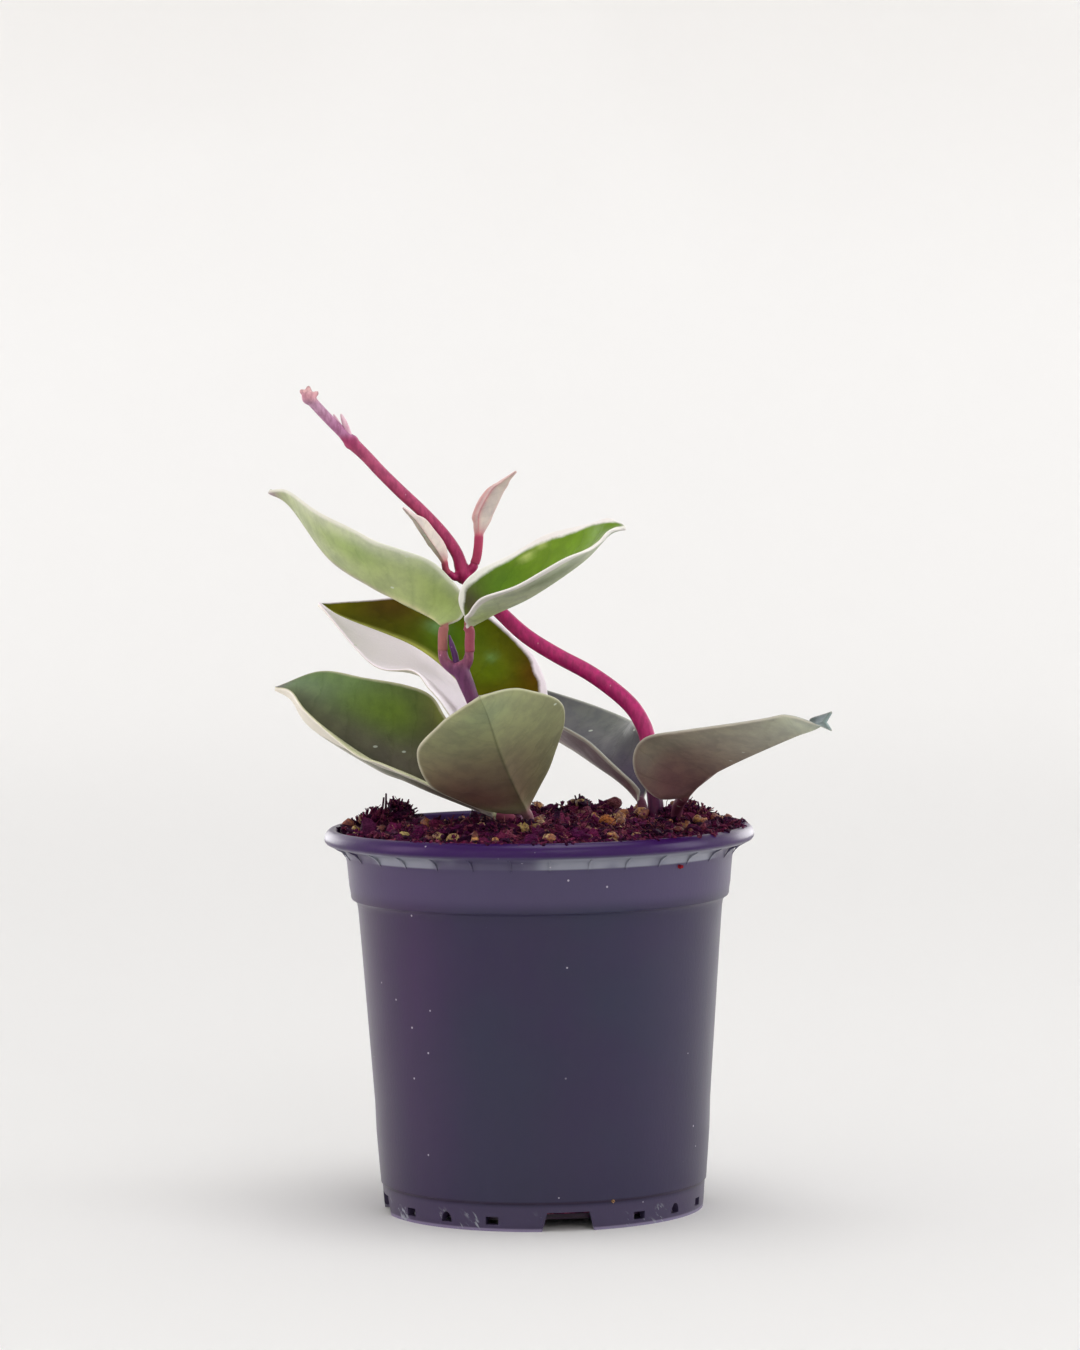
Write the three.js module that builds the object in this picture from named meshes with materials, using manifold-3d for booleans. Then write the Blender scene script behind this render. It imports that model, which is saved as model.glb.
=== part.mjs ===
// A potted krimson queen hoya: two rooted cuttings in a plain round nursery pot.
// Millimetres, +Z up. The origin is on the pot's axis at the level of its foot, and -Y is the front,
// which the lowest pair of leaves leans towards.
import * as THREE from "three";
import { mergeVertices } from "three/addons/utils/BufferGeometryUtils.js";
import Module from "manifold-3d";

const wasm = await Module();
wasm.setup();

// Pot, a thin moulded shell.
const POT_SIDES = 48; // facets round it
const RIM_RADIUS = 52.5; // widest circle of the rolled lip
const RIM_WIDEST_Z = 91;
const LIP_TOP_Z = 93.6;
const COLLAR_BOTTOM_Z = 76.5; // ledge under the straight collar
const COLLAR_RADIUS = 46.2;
const FOOT_RADIUS = 38.9; // outer radius of the foot ring on the ground
const FOOT_INNER_RADIUS = 37.6;
const FOOT_LINE_Z = 6.8; // shallow step above the foot
const FLOOR_UNDER_Z = 2.4; // underside of the raised floor
const FLOOR_TOP_Z = 3.6;
const STACKING_WEBS = 32; // thin webs in the neck under the lip
const WEB_THICKNESS = 0.5;
const WEB_TURN = -87.1; // degrees from +X
const NOTCH_TURNS = [-81.5, 8.5, 98.5, 188.5]; // notches in the foot, degrees from +X
const NOTCH_HEIGHT = 4.6;
const NOTCH_HALF_BOTTOM = 6.3; // half width at the ground and at the notch's top
const NOTCH_HALF_TOP = 5.1;
const NOTCH_INNER_RADIUS = 35.2;
const BLOCK = { inner: 34, outer: 38.3, half: 7.4, top: 5.8 }; // raised floor behind each notch
const SLOT_Z = 1.6; // low drain slots: degrees from a notch, half width, height
const SQUARE_SLOTS = [[27, 1.6, 1.9], [63, 1.6, 1.9]];
const ROUND_SLOT = [45, 1.5, 2.5];
const DRAIN_HOLE_RADIUS = 4.2;
const DRAIN_HOLE_RING = 23;
const OUTSIDE_WALL = [ // radius and height from the foot up to the top of the lip
  [FOOT_RADIUS, 0], [39.15, 1.4], [39.45, FOOT_LINE_Z - 0.2], [39.8, FOOT_LINE_Z + 0.2], [42.05, 40],
  [44.5, 74], [44.75, COLLAR_BOTTOM_Z - 0.9], [45.9, COLLAR_BOTTOM_Z],
  [COLLAR_RADIUS, COLLAR_BOTTOM_Z + 0.7], [46.95, 84.3], [47.2, 86], [48.1, 87.7],
  [50.2, 89.4], [52, 90.1], [RIM_RADIUS, RIM_WIDEST_Z], [52.25, 92.4], [50.8, LIP_TOP_Z],
];
const INSIDE_WALL = [ // and down again to the floor
  [49.6, 93.2], [49, 91.8], [47.7, 89.3], [46.4, 87.4], [45.9, 85.6], [44.95, 77.2], [43.4, 75.2],
  [38.5, 5], [37.9, FLOOR_TOP_Z],
];

// Potting mix.
const MIX_GAP = 0.35; // to the pot and round every stem
const MIX_EDGE_Z = 92.4; // where it meets the rim
const MIX_CROWN = 1; // how much higher the middle is
const MIX_TOP_RADIUS = 48.9;
const MIX_RINGS = [0.91, 0.77, 0.62, 0.47, 0.32, 0.16]; // of that radius, for the heaped surface
const MOUNDS = [ // x, y, height and spread of the heaps
  [-41, 7, 2.4, 4], [-31.5, 14, 3.9, 3], [-36, 12, 1.8, 4], [11, 28, 3, 3.2], [18.7, 34, 1.8, 2.6],
  [38, 8, 2.8, 5], [45, -2, 1.2, 4], [2, 27, 1.6, 6], [30, 8, 1.6, 6], [-12, 20, 0.8, 6],
  [-20, -30, 0.5, 6],
];
const LUMPS = [ // x, y, z and radius of the largest pieces of bark, which stand out of the surface
  [-41.5, 6, 94.8, 2.4], [-38.5, 11, 95.4, 2.2], [-31.4, 14.2, 96.6, 2.4], [-29, 17, 95.3, 2],
  [11.2, 28, 96.4, 2.1], [18.7, 34.6, 94.9, 2], [5, 30, 94.6, 2.2], [37.6, 9.5, 95.8, 2.3],
  [41.5, 5, 95.1, 2.2], [46, -1.5, 93.6, 2], [26, -20, 93.4, 2.3], [8, -34, 93, 2.4],
  [-22, -26, 93.2, 2.4], [-36, -18, 93, 2.3], [14, 8, 94.2, 2.4], [-16, 30, 93.6, 2.2],
  [32, -28, 92.9, 2.1], [-6, -20, 93.4, 2.2], [38, 22, 93.8, 2.2], [-27, 34, 93.2, 2.1],
];

// Leaves.
const BLADE = { mid: 1.3, edge: 0.7, stations: 15 }; // thickness at the midrib and at the edge
const YOUNG_BLADE = { mid: 0.9, edge: 0.6, stations: 9 };
const CUP = 0.07; // how far each half sags between midrib and edge, as a share of its width
const BLADE_COLUMNS = 3; // facets on each side of the midrib

// A leaf is given by the points of three curves, from its base to its tip: the midrib, the left edge
// and the right edge, seen with the upper face up. The stalk's points run from its cut end to the base.
const LEAVES = {
  leaf_low_left: {
    stalkRadius: 1.2,
    stalk: [[-5.6, -1.2, 86], [-5.6, -1.2, 93.4], [-6.8, -1, 95.4], [-8.6, -0.6, 96]],
    rib: [
      [-10.3, -0.1, 96.2], [-14.7, 1.1, 97.8], [-26.1, 4.7, 102.1], [-33.1, 7.2, 104.6],
      [-40, 9.7, 107.2], [-52.4, 14.8, 114.2], [-60.5, 19.9, 123.7], [-65.1, 24, 127.2],
    ],
    left: [
      [-10.5, -1.2, 96.5], [-14.1, -8.6, 98.9], [-30.3, -13.9, 107], [-38.1, -13, 110.9],
      [-45, -10.6, 113.9], [-54.5, -0.8, 120.8], [-60.4, 13.4, 126.9], [-65.1, 23.7, 127.4],
    ],
    right: [
      [-9.9, 0, 97.3], [-10.4, 0.6, 106], [-21.4, 1.2, 118.6], [-25.9, 5.6, 125.3],
      [-32, 7.6, 127.9], [-42.2, 11.7, 129.6], [-53.4, 19.4, 131], [-64.8, 24.1, 127.5],
    ],
  },
  leaf_low_front: {
    stalkRadius: 1.3,
    stalk: [[-2.4, -3.2, 86], [-2.4, -3.2, 93.8], [-2.6, -4, 95.8], [-3, -5.4, 97]],
    rib: [
      [-3.4, -6.7, 97.7], [-4.2, -9.8, 100], [-5.1, -13.4, 102.4], [-7.4, -23.2, 108.5],
      [-9.5, -33.5, 114.9], [-11.3, -43.1, 121.5], [-12.1, -47.1, 124.4], [-13.4, -52.4, 128.3],
    ],
    left: [
      [-2.6, -6.3, 98.5], [1.6, -5.3, 104.1], [4.8, -8.9, 111.1], [7.4, -19.3, 120.4],
      [5, -29.2, 126], [-2, -39.4, 129.2], [-6.3, -44.4, 129.7], [-13.2, -52.3, 128.5],
    ],
    right: [
      [-4.6, -6.4, 97.6], [-13.4, -6.9, 100.2], [-18.8, -9.7, 103], [-26.5, -19.8, 107],
      [-28.8, -30.6, 114.2], [-23.9, -41.3, 120.5], [-20.4, -45.7, 123.8], [-13.7, -52.3, 128.3],
    ],
  },
  leaf_top_left: {
    stalkRadius: 1.2,
    stalk: [[-23, 3.2, 136.5], [-23.4, 3.4, 138.8], [-23.2, 3.9, 141.3]],
    rib: [
      [-21.3, 4, 142.7], [-24.9, 5.7, 144.8], [-29.2, 7.7, 147.1], [-34.7, 10.5, 149.8],
      [-40.5, 13.8, 152.7], [-50.8, 21.3, 159.3], [-60.8, 32.1, 172.1], [-66.7, 36.2, 175.5],
    ],
    left: [
      [-20.6, 4.5, 143.5], [-17.6, 8.1, 149.5], [-23.8, 3.6, 157], [-32.8, 1.2, 161.5],
      [-41.3, 2, 164.8], [-52.1, 9.2, 169.9], [-61.5, 27.1, 175.4], [-66.7, 35.9, 175.7],
    ],
    right: [
      [-21, 5.1, 142.3], [-20.3, 12.4, 140.8], [-24.2, 17.8, 142.5], [-28.3, 23.7, 146.4],
      [-32, 28.4, 151.7], [-40.5, 33.8, 158.3], [-56.4, 36.3, 171.9], [-66.4, 36.5, 175.5],
    ],
  },
  leaf_top_right: {
    stalkRadius: 1.2,
    stalk: [[-16.4, 2.4, 136.3], [-16.4, 2, 138.6], [-16.3, 1.4, 141.2]],
    rib: [
      [-16, 0.9, 142.9], [-13.3, -0.4, 144.6], [-10, -1.8, 146.4], [-1.2, -5.8, 150.6],
      [10.7, -12.6, 158.7], [16.9, -16.3, 164.9], [19.5, -17.5, 166.3], [21.6, -18.3, 166.5],
    ],
    left: [
      [-16.6, 0.9, 143.9], [-18.7, 0.5, 149.9], [-14.6, 3.1, 155.7], [-1.8, 4.8, 162.1],
      [9.2, -2.7, 166.5], [16.8, -11.4, 168.4], [20, -15.5, 167.9], [21.7, -18, 166.7],
    ],
    right: [
      [-16.6, -0.2, 143], [-17.5, -6.4, 144.5], [-15.9, -11.6, 147.1], [-9, -19.3, 152.7],
      [4.7, -23.7, 157.8], [14.5, -21.8, 164.3], [18.4, -19.7, 166.5], [21.4, -18.6, 166.5],
    ],
  },
  leaf_middle_back: {
    stalkRadius: 1.1,
    stalk: [[-9.6, 5.9, 107], [-9.7, 7, 107.7], [-9.8, 7.8, 108.8]],
    rib: [
      [-9.9, 8.1, 109.9], [-12, 8.9, 114], [-14.2, 10.5, 118.5], [-17.2, 13.8, 123.8],
      [-21, 17.7, 128.9], [-31.1, 25.4, 136.4], [-48.7, 34.2, 143.2], [-54.7, 37.7, 146.9],
    ],
    left: [
      [-10.5, 7.1, 110], [-15.6, -0.3, 114.7], [-21.6, -2.2, 120.8], [-27, -1.2, 127.9],
      [-34, 2.7, 129.6], [-41.5, 10.4, 133.6], [-51.9, 27, 144.9], [-54.8, 37.4, 147],
    ],
    right: [
      [-8.9, 8.5, 110.3], [-2.2, 10.8, 115.7], [2.3, 13.9, 122.4], [1.3, 19.9, 129.3],
      [-3.7, 26.3, 136.5], [-19.7, 35.7, 146.8], [-44.4, 39.2, 146.8], [-54.5, 37.9, 147],
    ],
  },
  leaf_right_front: {
    stalkRadius: 1.15,
    stalk: [[34.3, 2, 88], [34.3, 2, 94.4], [34.5, 0.6, 97.4], [35.1, -3.2, 100.2], [35.6, -6.6, 101.5]],
    rib: [
      [36.1, -9.1, 102.3], [37.5, -13, 104], [39.5, -17.4, 105.7], [42.3, -22.8, 107.8],
      [49.1, -34.7, 112], [59.8, -51.1, 118.1], [63.3, -55.5, 119.8], [67.8, -61, 121.9],
    ],
    left: [
      [37, -8.5, 102.9], [45.6, -6.5, 109], [51.4, -6.8, 113.6], [57.1, -11, 114.5],
      [62, -24.5, 118.5], [66.7, -45.1, 120.3], [63.7, -54.5, 122.3], [68.2, -59.6, 124.3],
    ],
    right: [
      [35, -9.6, 102.2], [26.8, -16.9, 102.6], [22.9, -22.5, 108.8], [24.5, -28.3, 115.2],
      [34.1, -41.2, 118.8], [52.5, -54.7, 122.8], [59, -57.2, 123.1], [68.1, -60.3, 119.8],
    ],
  },
  leaf_right_back: {
    stalkRadius: 1.2,
    stalk: [[26.2, 12.4, 86], [26.2, 12.4, 94.4], [25.6, 12.2, 96.4]],
    rib: [
      [24, 13, 97.8], [21.7, 16.4, 99.4], [19.3, 20.5, 101.1], [16.4, 25.7, 103.3],
      [9.9, 37.2, 108], [3.2, 48.3, 113.2], [-2.3, 56.9, 119.5], [-5.2, 61.6, 125.1],
    ],
    left: [
      [23.9, 12.4, 98.8], [22.4, 10.9, 104.3], [15.9, 13.1, 110], [9.9, 17, 114.6],
      [1.6, 27.4, 119.7], [-0.3, 39.6, 120.6], [-1.6, 52.2, 122.7], [-5.1, 61.3, 125.3],
    ],
    right: [
      [24.7, 13, 98.8], [27, 15.8, 105.7], [26.3, 19.2, 111.8], [24.5, 24.8, 116.1],
      [22.9, 41.1, 116.5], [15, 52.1, 119.6], [3.3, 57.3, 123], [-4.9, 61.5, 125.3],
    ],
  },
  young_leaf_left: {
    stalkRadius: 0.85,
    stalk: [[-21.6, 12.3, 155.2], [-22.1, 11.9, 156], [-22.3, 11.6, 156.9]],
    rib: [
      [-22.4, 11.1, 157.9], [-24, 10.6, 160.7], [-25.7, 10.2, 163.2],
      [-28.8, 9.6, 167.8], [-30.5, 9.3, 169.7], [-32.4, 9, 171.5],
    ],
    left: [
      [-21.4, 11.4, 158.4], [-21.9, 11.6, 161.2], [-23.1, 11.6, 163.8],
      [-26.6, 10.8, 168.3], [-29.4, 10, 169.8], [-32.1, 9.1, 171.6],
    ],
    right: [
      [-23.4, 11.4, 158.2], [-25.4, 11.6, 160.7], [-26.9, 11.6, 163.1],
      [-29.9, 10.8, 167.6], [-31.1, 10, 169.4], [-32.6, 9.1, 171.3],
    ],
  },
  young_leaf_right: {
    stalkRadius: 1.15,
    stalk: [[-15, 13.8, 157.5], [-14.5, 13.6, 159], [-14.1, 13.3, 161.6]],
    rib: [
      [-13.9, 13, 164.2], [-14, 12.6, 167.4], [-13.5, 12.1, 170.6],
      [-10.5, 11.1, 175.8], [-8, 10.6, 177.7], [-4.5, 10.1, 180.1],
    ],
    left: [
      [-12.8, 13.4, 164.4], [-11.4, 13.8, 167.1], [-10.2, 14.1, 169.5],
      [-7.3, 12.9, 175.4], [-6.2, 11.6, 177.5], [-4.3, 10.2, 179.8],
    ],
    right: [
      [-15, 13.4, 164.4], [-15.3, 13.8, 167.1], [-15.2, 14.1, 169.6],
      [-12.4, 12.9, 175], [-9, 11.6, 177.3], [-4.8, 10.2, 180.1],
    ],
  },
};

// Stems: x, y, z and radius along the centre line, from the end in the mix.
const LEFT_STEM = [
  [-4.8, 5, 86, 1.5], [-4.8, 5, 93, 1.5], [-5.3, 5, 96.5, 1.5], [-7.5, 4.6, 100.8, 1.5],
  [-9.6, 3.3, 106.6, 1.75], [-10.6, 3, 110.5, 1.5], [-12.4, 2.5, 117.7, 1.5], [-15, 2.6, 124.3, 1.5],
  [-16.9, 2.8, 128.8, 1.6], [-18.6, 3, 132.4, 2.1], [-19.5, 3, 134.2, 1.5],
];
const LEFT_STEM_FORKS = [
  [[-19, 3, 133, 1.2], [-20.8, 3, 134, 1.2], [-22.5, 3.1, 135.2, 1.15]],
  [[-19, 3, 133, 1.2], [-17.6, 2.8, 133.9, 1.2], [-16.6, 2.5, 135.1, 1.15]],
];
const LEFT_SHOOT = [
  [-19.6, 3, 133.6, 0.8], [-20.1, 2.8, 135.4, 0.7], [-20.7, 2.6, 137.6, 0.6], [-21.2, 2.4, 139.6, 0.3],
];
const VINE = [
  [29.4, 7, 86, 2], [29, 7.2, 92.6, 2], [28.6, 7.4, 99.2, 2], [27.9, 8, 106.2, 2.05],
  [27.2, 8.5, 114.1, 2.05], [26.3, 9, 119, 2.05], [24, 10, 123.4, 2.05], [18, 11.5, 126.9, 2.05],
  [12.4, 12.5, 130.6, 2], [4.9, 13.5, 134.5, 1.95], [-2.7, 14.5, 139.4, 1.9], [-9, 15, 145.3, 1.8],
  [-13.8, 15, 150.3, 1.7], [-17.7, 14.5, 154.8, 1.9], [-19.3, 14, 159.7, 1.55],
  [-22.6, 13.5, 164.7, 1.5], [-27.9, 13, 170.5, 1.5], [-32.5, 12, 174.9, 1.55],
  [-37.6, 11, 180.1, 1.5], [-41.2, 10, 184.1, 1.5], [-44.6, 9, 187.5, 1.65],
  [-47.2, 8.5, 190.3, 1.35], [-50.8, 8, 194, 1.3], [-54.2, 7.2, 197.8, 1.3],
];
const VINE_STUBS = [ // short ends that carry the young leaves
  [[-18, 14.3, 154.6, 0.95], [-19.4, 13.6, 154, 0.95], [-20.4, 12.9, 154.3, 0.95]],
  [[-17.6, 14.3, 155, 1.15], [-16.4, 14, 155.6, 1.15], [-15.4, 13.8, 156.5, 1.15]],
];
const VINE_SWELLINGS = [ // nodes, bracts and end buds: centre, half length, half width, direction
  { at: [-17.9, 14.4, 154.6], half: 2.5, wide: 2.2, along: [-0.5, 0, 1] },
  { at: [-44.8, 9, 187.7], half: 2, wide: 1.9, along: [-0.7, 0, 0.7] },
  { at: [-46.1, 9.2, 191.4], half: 3.9, wide: 0.75, along: [-0.38, 0, 0.92] },
  { at: [-47.7, 9.6, 192], half: 3.4, wide: 0.6, along: [-0.45, 0.1, 0.9] },
  { at: [-55, 7, 198.7], half: 1.9, wide: 1.75, along: [-0.7, 0, 0.7] },
  { at: [-56.3, 7, 200], half: 1.1, wide: 0.75, along: [-0.8, 0, 0.5] },
  { at: [-55, 7.2, 200.6], half: 1.1, wide: 0.75, along: [-0.1, 0.2, 1] },
  { at: [-53.4, 6.8, 199.5], half: 1.1, wide: 0.7, along: [0.7, 0, 0.6] },
];
const SWELLING_SIDES = 8;
const SWELLING_ROWS = 5;

const UP_Y = new THREE.Vector3(0, 1, 0);
const v3 = ([x, y, z]) => new THREE.Vector3(x, y, z);
const curveOf = (points) => new THREE.CatmullRomCurve3(points, false, "catmullrom", 0.5);
const outlineOf = (points) => new THREE.Shape(points.map(([x, y]) => new THREE.Vector2(x, y)));
const towards = (direction) => new THREE.Quaternion().setFromUnitVectors(UP_Y, direction);

function smooth01(x) {
  const c = Math.min(Math.max(x, 0), 1);
  return c * c * (3 - 2 * c);
}

// A closed geometry as a manifold-3d solid whose faces point out.
function solid(geometry) {
  const bare = geometry.clone();
  bare.deleteAttribute("normal");
  bare.deleteAttribute("uv");
  const merged = mergeVertices(bare, 1e-3);
  const index = merged.index.array;
  const triangles = [];
  for (let i = 0; i < index.length; i += 3) {
    const [a, b, c] = [index[i], index[i + 1], index[i + 2]];
    if (a !== b && b !== c && a !== c) triangles.push([a, b, c]);
  }
  const build = (list) => new wasm.Manifold(new wasm.Mesh({
    numProp: 3,
    vertProperties: merged.attributes.position.array,
    triVerts: new Uint32Array(list.flat()),
  }));
  const made = build(triangles);
  return made.volume() > 0 ? made : build(triangles.map(([a, b, c]) => [b, a, c]));
}

function geometryOf(made) {
  const mesh = made.getMesh();
  const step = mesh.numProp;
  const position = new Float32Array(mesh.numVert * 3);
  for (let i = 0; i < mesh.numVert; i++) {
    position.set(mesh.vertProperties.subarray(i * step, i * step + 3), i * 3);
  }
  const geometry = new THREE.BufferGeometry();
  geometry.setAttribute("position", new THREE.BufferAttribute(position, 3));
  geometry.setIndex(new THREE.BufferAttribute(mesh.triVerts, 1));
  geometry.computeVertexNormals();
  return geometry;
}

// Rings of equal size, skinned one to the next; cap lists the triangles that close an end ring.
function skin(rings, cap) {
  const n = rings[0].length;
  const index = [];
  for (let i = 0; i + 1 < rings.length; i++) {
    for (let j = 0; j < n; j++) {
      const a = i * n + j;
      const b = i * n + ((j + 1) % n);
      index.push(a, b, b + n, a, b + n, a + n);
    }
  }
  const last = (rings.length - 1) * n;
  for (const [a, b, c] of cap(n)) index.push(c, b, a, last + a, last + b, last + c);
  const geometry = new THREE.BufferGeometry();
  const position = rings.flat().flatMap((p) => [p.x, p.y, p.z]);
  geometry.setAttribute("position", new THREE.Float32BufferAttribute(position, 3));
  geometry.setIndex(index);
  return solid(geometry);
}

const fanCap = (n) => Array.from({ length: n - 2 }, (_, k) => [0, k + 1, k + 2]);

// A blade's ring runs along its upper face and back along the lower one, so it closes rung by rung.
function ladderCap(n) {
  const out = [];
  for (let k = 0; k < n / 2 - 1; k++) out.push([k, k + 1, n - 2 - k], [k, n - 2 - k, n - 1 - k]);
  return out;
}

// A round stem through points that each end in its radius there.
function tube(points, sides) {
  const curve = curveOf(points.map(v3));
  const spans = points.length - 1;
  const rings = [];
  let side = null;
  for (let i = 0; i <= 2 * spans; i++) {
    const t = i / (2 * spans);
    const centre = curve.getPoint(t);
    const along = curve.getTangent(t);
    side ??= new THREE.Vector3().crossVectors(UP_Y, along);
    side.addScaledVector(along, -side.dot(along)).normalize();
    const across = new THREE.Vector3().crossVectors(along, side);
    const k = Math.min(Math.floor(t * spans), spans - 1);
    const radius = THREE.MathUtils.lerp(points[k][3], points[k + 1][3], smooth01(t * spans - k));
    rings.push(Array.from({ length: sides }, (_, j) => {
      const turn = (2 * Math.PI * j) / sides;
      return centre.clone()
        .addScaledVector(side, radius * Math.cos(turn))
        .addScaledVector(across, radius * Math.sin(turn));
    }));
  }
  return skin(rings, fanCap);
}

function swelling({ at, half, wide, along }) {
  const geometry = new THREE.SphereGeometry(1, SWELLING_SIDES, SWELLING_ROWS);
  geometry.scale(wide, half, wide);
  geometry.applyQuaternion(towards(v3(along).normalize()));
  geometry.translate(...at);
  return solid(geometry);
}

// The stations of a leaf: round ones along the stalk, then ones that flatten into the blade.
function leafStations(shape, count) {
  const [rib, left, right] = [shape.rib, shape.left, shape.right].map((p) => curveOf(p.map(v3)));
  const blade = Array.from({ length: count + 1 }, (_, i) => {
    const t = i / count;
    const [L, R, along] = [left.getPoint(t), right.getPoint(t), rib.getTangent(t)];
    const up = R.clone().sub(L).cross(along).normalize();
    return { centre: rib.getPoint(t), L, R, along, up, flat: smooth01(0.15 + t * 9) };
  });
  const stalk = curveOf([...shape.stalk.map(v3), blade[0].centre]);
  const stalkCount = shape.stalk.length * 2;
  const stations = blade;
  let up = blade[0].up;
  for (let i = stalkCount - 1; i >= 0; i--) {
    const along = stalk.getTangent(i / stalkCount);
    up = up.clone().addScaledVector(along, -up.dot(along)).normalize();
    stations.unshift({ centre: stalk.getPoint(i / stalkCount), along, up, flat: 0 });
  }
  return stations;
}

// One leaf: a round stalk that flattens into a folded, slightly cupped blade.
function leaf(shape, { mid, edge, stations }) {
  const radius = shape.stalkRadius;
  const rings = leafStations(shape, stations).map((s) => {
    const side = new THREE.Vector3().crossVectors(s.along, s.up).normalize();
    const upper = [];
    const lower = [];
    for (let j = -BLADE_COLUMNS; j <= BLADE_COLUMNS; j++) {
      const out = Math.abs(j) / BLADE_COLUMNS; // 0 at the midrib, 1 at the edge
      const turn = (j / BLADE_COLUMNS) * 1.35; // stops short of a quarter turn, so the edge keeps a face
      const point = s.centre.clone().addScaledVector(side, radius * Math.sin(turn));
      let half = radius * Math.cos(turn);
      const normal = s.up.clone();
      if (s.flat > 0) {
        const reach = (j < 0 ? s.L : s.R).clone().sub(s.centre);
        const width = reach.length();
        const faceUp = reach.clone().multiplyScalar(j < 0 ? -1 : 1).cross(s.along).normalize();
        const onBlade = s.centre.clone().addScaledVector(reach, out);
        onBlade.addScaledVector(faceUp, -CUP * width * 4 * out * (1 - out));
        point.lerp(onBlade, s.flat);
        half = THREE.MathUtils.lerp(half, 0.5 * (edge + (mid - edge) * (1 - out) ** 1.5), s.flat);
        normal.lerp(faceUp, smooth01((out * width - 0.5) / 3)).normalize();
      }
      upper.push(point.clone().addScaledVector(normal, half));
      lower.unshift(point.clone().addScaledVector(normal, -half));
    }
    return [...upper, ...lower];
  });
  return skin(rings, ladderCap);
}

// A prism that runs outwards along a radius of the pot: its outline has x across the wall and y up.
function radialPrism(outline, inner, outer, degrees) {
  const depth = outer - inner;
  const geometry = new THREE.ExtrudeGeometry(outlineOf(outline), { depth, bevelEnabled: false });
  geometry.rotateX(Math.PI / 2);
  geometry.translate(0, -inner, 0);
  geometry.rotateZ(THREE.MathUtils.degToRad(degrees + 90));
  return solid(geometry);
}

function potShell() {
  const underside = [[0, FLOOR_UNDER_Z], [36.9, FLOOR_UNDER_Z], [37.4, 1.9], [FOOT_INNER_RADIUS, 0]];
  const profile = [...underside, ...OUTSIDE_WALL, ...INSIDE_WALL, [0, FLOOR_TOP_Z]];
  const geometry = new THREE.LatheGeometry(profile.map(([r, z]) => new THREE.Vector2(r, z)), POT_SIDES);
  geometry.rotateX(Math.PI / 2);
  return solid(geometry);
}

function stackingWeb(degrees) {
  const outline = outlineOf([[46.4, 84.7], [47.1, 84.9], [51, 90], [49.4, 90.4]]); // radius and height
  const geometry = new THREE.ExtrudeGeometry(outline, { depth: WEB_THICKNESS, bevelEnabled: false });
  geometry.translate(0, 0, -WEB_THICKNESS / 2);
  geometry.rotateX(Math.PI / 2);
  geometry.rotateZ(THREE.MathUtils.degToRad(degrees));
  return solid(geometry);
}

function notchBlock(degrees, grow) {
  const half = BLOCK.half + grow;
  const outline = [[-half, 3], [half, 3], [half, BLOCK.top + grow], [-half, BLOCK.top + grow]];
  return radialPrism(outline, BLOCK.inner - grow, grow > 0 ? BLOCK.outer + 2 : BLOCK.outer, degrees);
}

function footNotch(degrees) {
  const [low, high] = [NOTCH_HALF_BOTTOM, NOTCH_HALF_TOP];
  const outline = [[-low, -1], [low, -1], [low, 0], [high, NOTCH_HEIGHT], [-high, NOTCH_HEIGHT], [-low, 0]];
  return radialPrism(outline, NOTCH_INNER_RADIUS, FOOT_RADIUS + 3, degrees);
}

function drainSlot(outline, degrees) {
  const raised = outline.map(([x, y]) => [x, y + SLOT_Z]);
  return radialPrism(raised, FOOT_INNER_RADIUS - 1, FOOT_RADIUS + 3, degrees);
}

function floorHole(x, y) {
  const geometry = new THREE.CylinderGeometry(DRAIN_HOLE_RADIUS, DRAIN_HOLE_RADIUS, 4, 20);
  geometry.rotateX(Math.PI / 2);
  geometry.translate(x, y, FLOOR_TOP_Z - 0.6);
  return solid(geometry);
}

function makePot() {
  let pot = potShell();
  for (let k = 0; k < STACKING_WEBS; k++) pot = pot.add(stackingWeb(WEB_TURN + (360 / STACKING_WEBS) * k));
  for (const turn of NOTCH_TURNS) {
    pot = pot.add(notchBlock(turn, 0)).subtract(footNotch(turn));
    for (const [offset, w, h] of SQUARE_SLOTS) {
      pot = pot.subtract(drainSlot([[-w, 0], [w, 0], [w, h], [-w, h]], turn + offset));
    }
    const [offset, w, h] = ROUND_SLOT;
    const bends = Array.from({ length: 7 }, (_, k) => (Math.PI * k) / 6);
    const arch = bends.map((a) => [w * Math.cos(a), h * Math.sin(a)]);
    pot = pot.subtract(drainSlot(arch, turn + offset));
    const hole = THREE.MathUtils.degToRad(turn + 45);
    pot = pot.subtract(floorHole(DRAIN_HOLE_RING * Math.cos(hole), DRAIN_HOLE_RING * Math.sin(hole)));
  }
  return pot.subtract(floorHole(0, 0));
}

function mixHeight(x, y) {
  const r = Math.hypot(x, y) / MIX_TOP_RADIUS;
  const calm = smooth01((1.02 - r) / 0.25); // fades the heaps out towards the rim
  const ripple = 0.45 * Math.sin(0.43 * x + 1.3) * Math.cos(0.37 * y - 0.8);
  const grain = 0.35 * Math.sin(0.9 * x + 0.5 * y + 2.1);
  let z = MIX_EDGE_Z + MIX_CROWN * (1 - r * r) + calm * (ripple + grain);
  for (const [mx, my, height, spread] of MOUNDS) {
    const away = ((x - mx) ** 2 + (y - my) ** 2) / (2 * spread * spread);
    z += height * Math.exp(-away) * Math.max(calm, 0.35);
  }
  return z;
}

function mixRing(radius, height) {
  return Array.from({ length: POT_SIDES }, (_, j) => {
    const turn = (2 * Math.PI * j) / POT_SIDES;
    const [x, y] = [radius * Math.cos(turn), radius * Math.sin(turn)];
    return new THREE.Vector3(x, y, height ?? mixHeight(x, y));
  });
}

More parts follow.
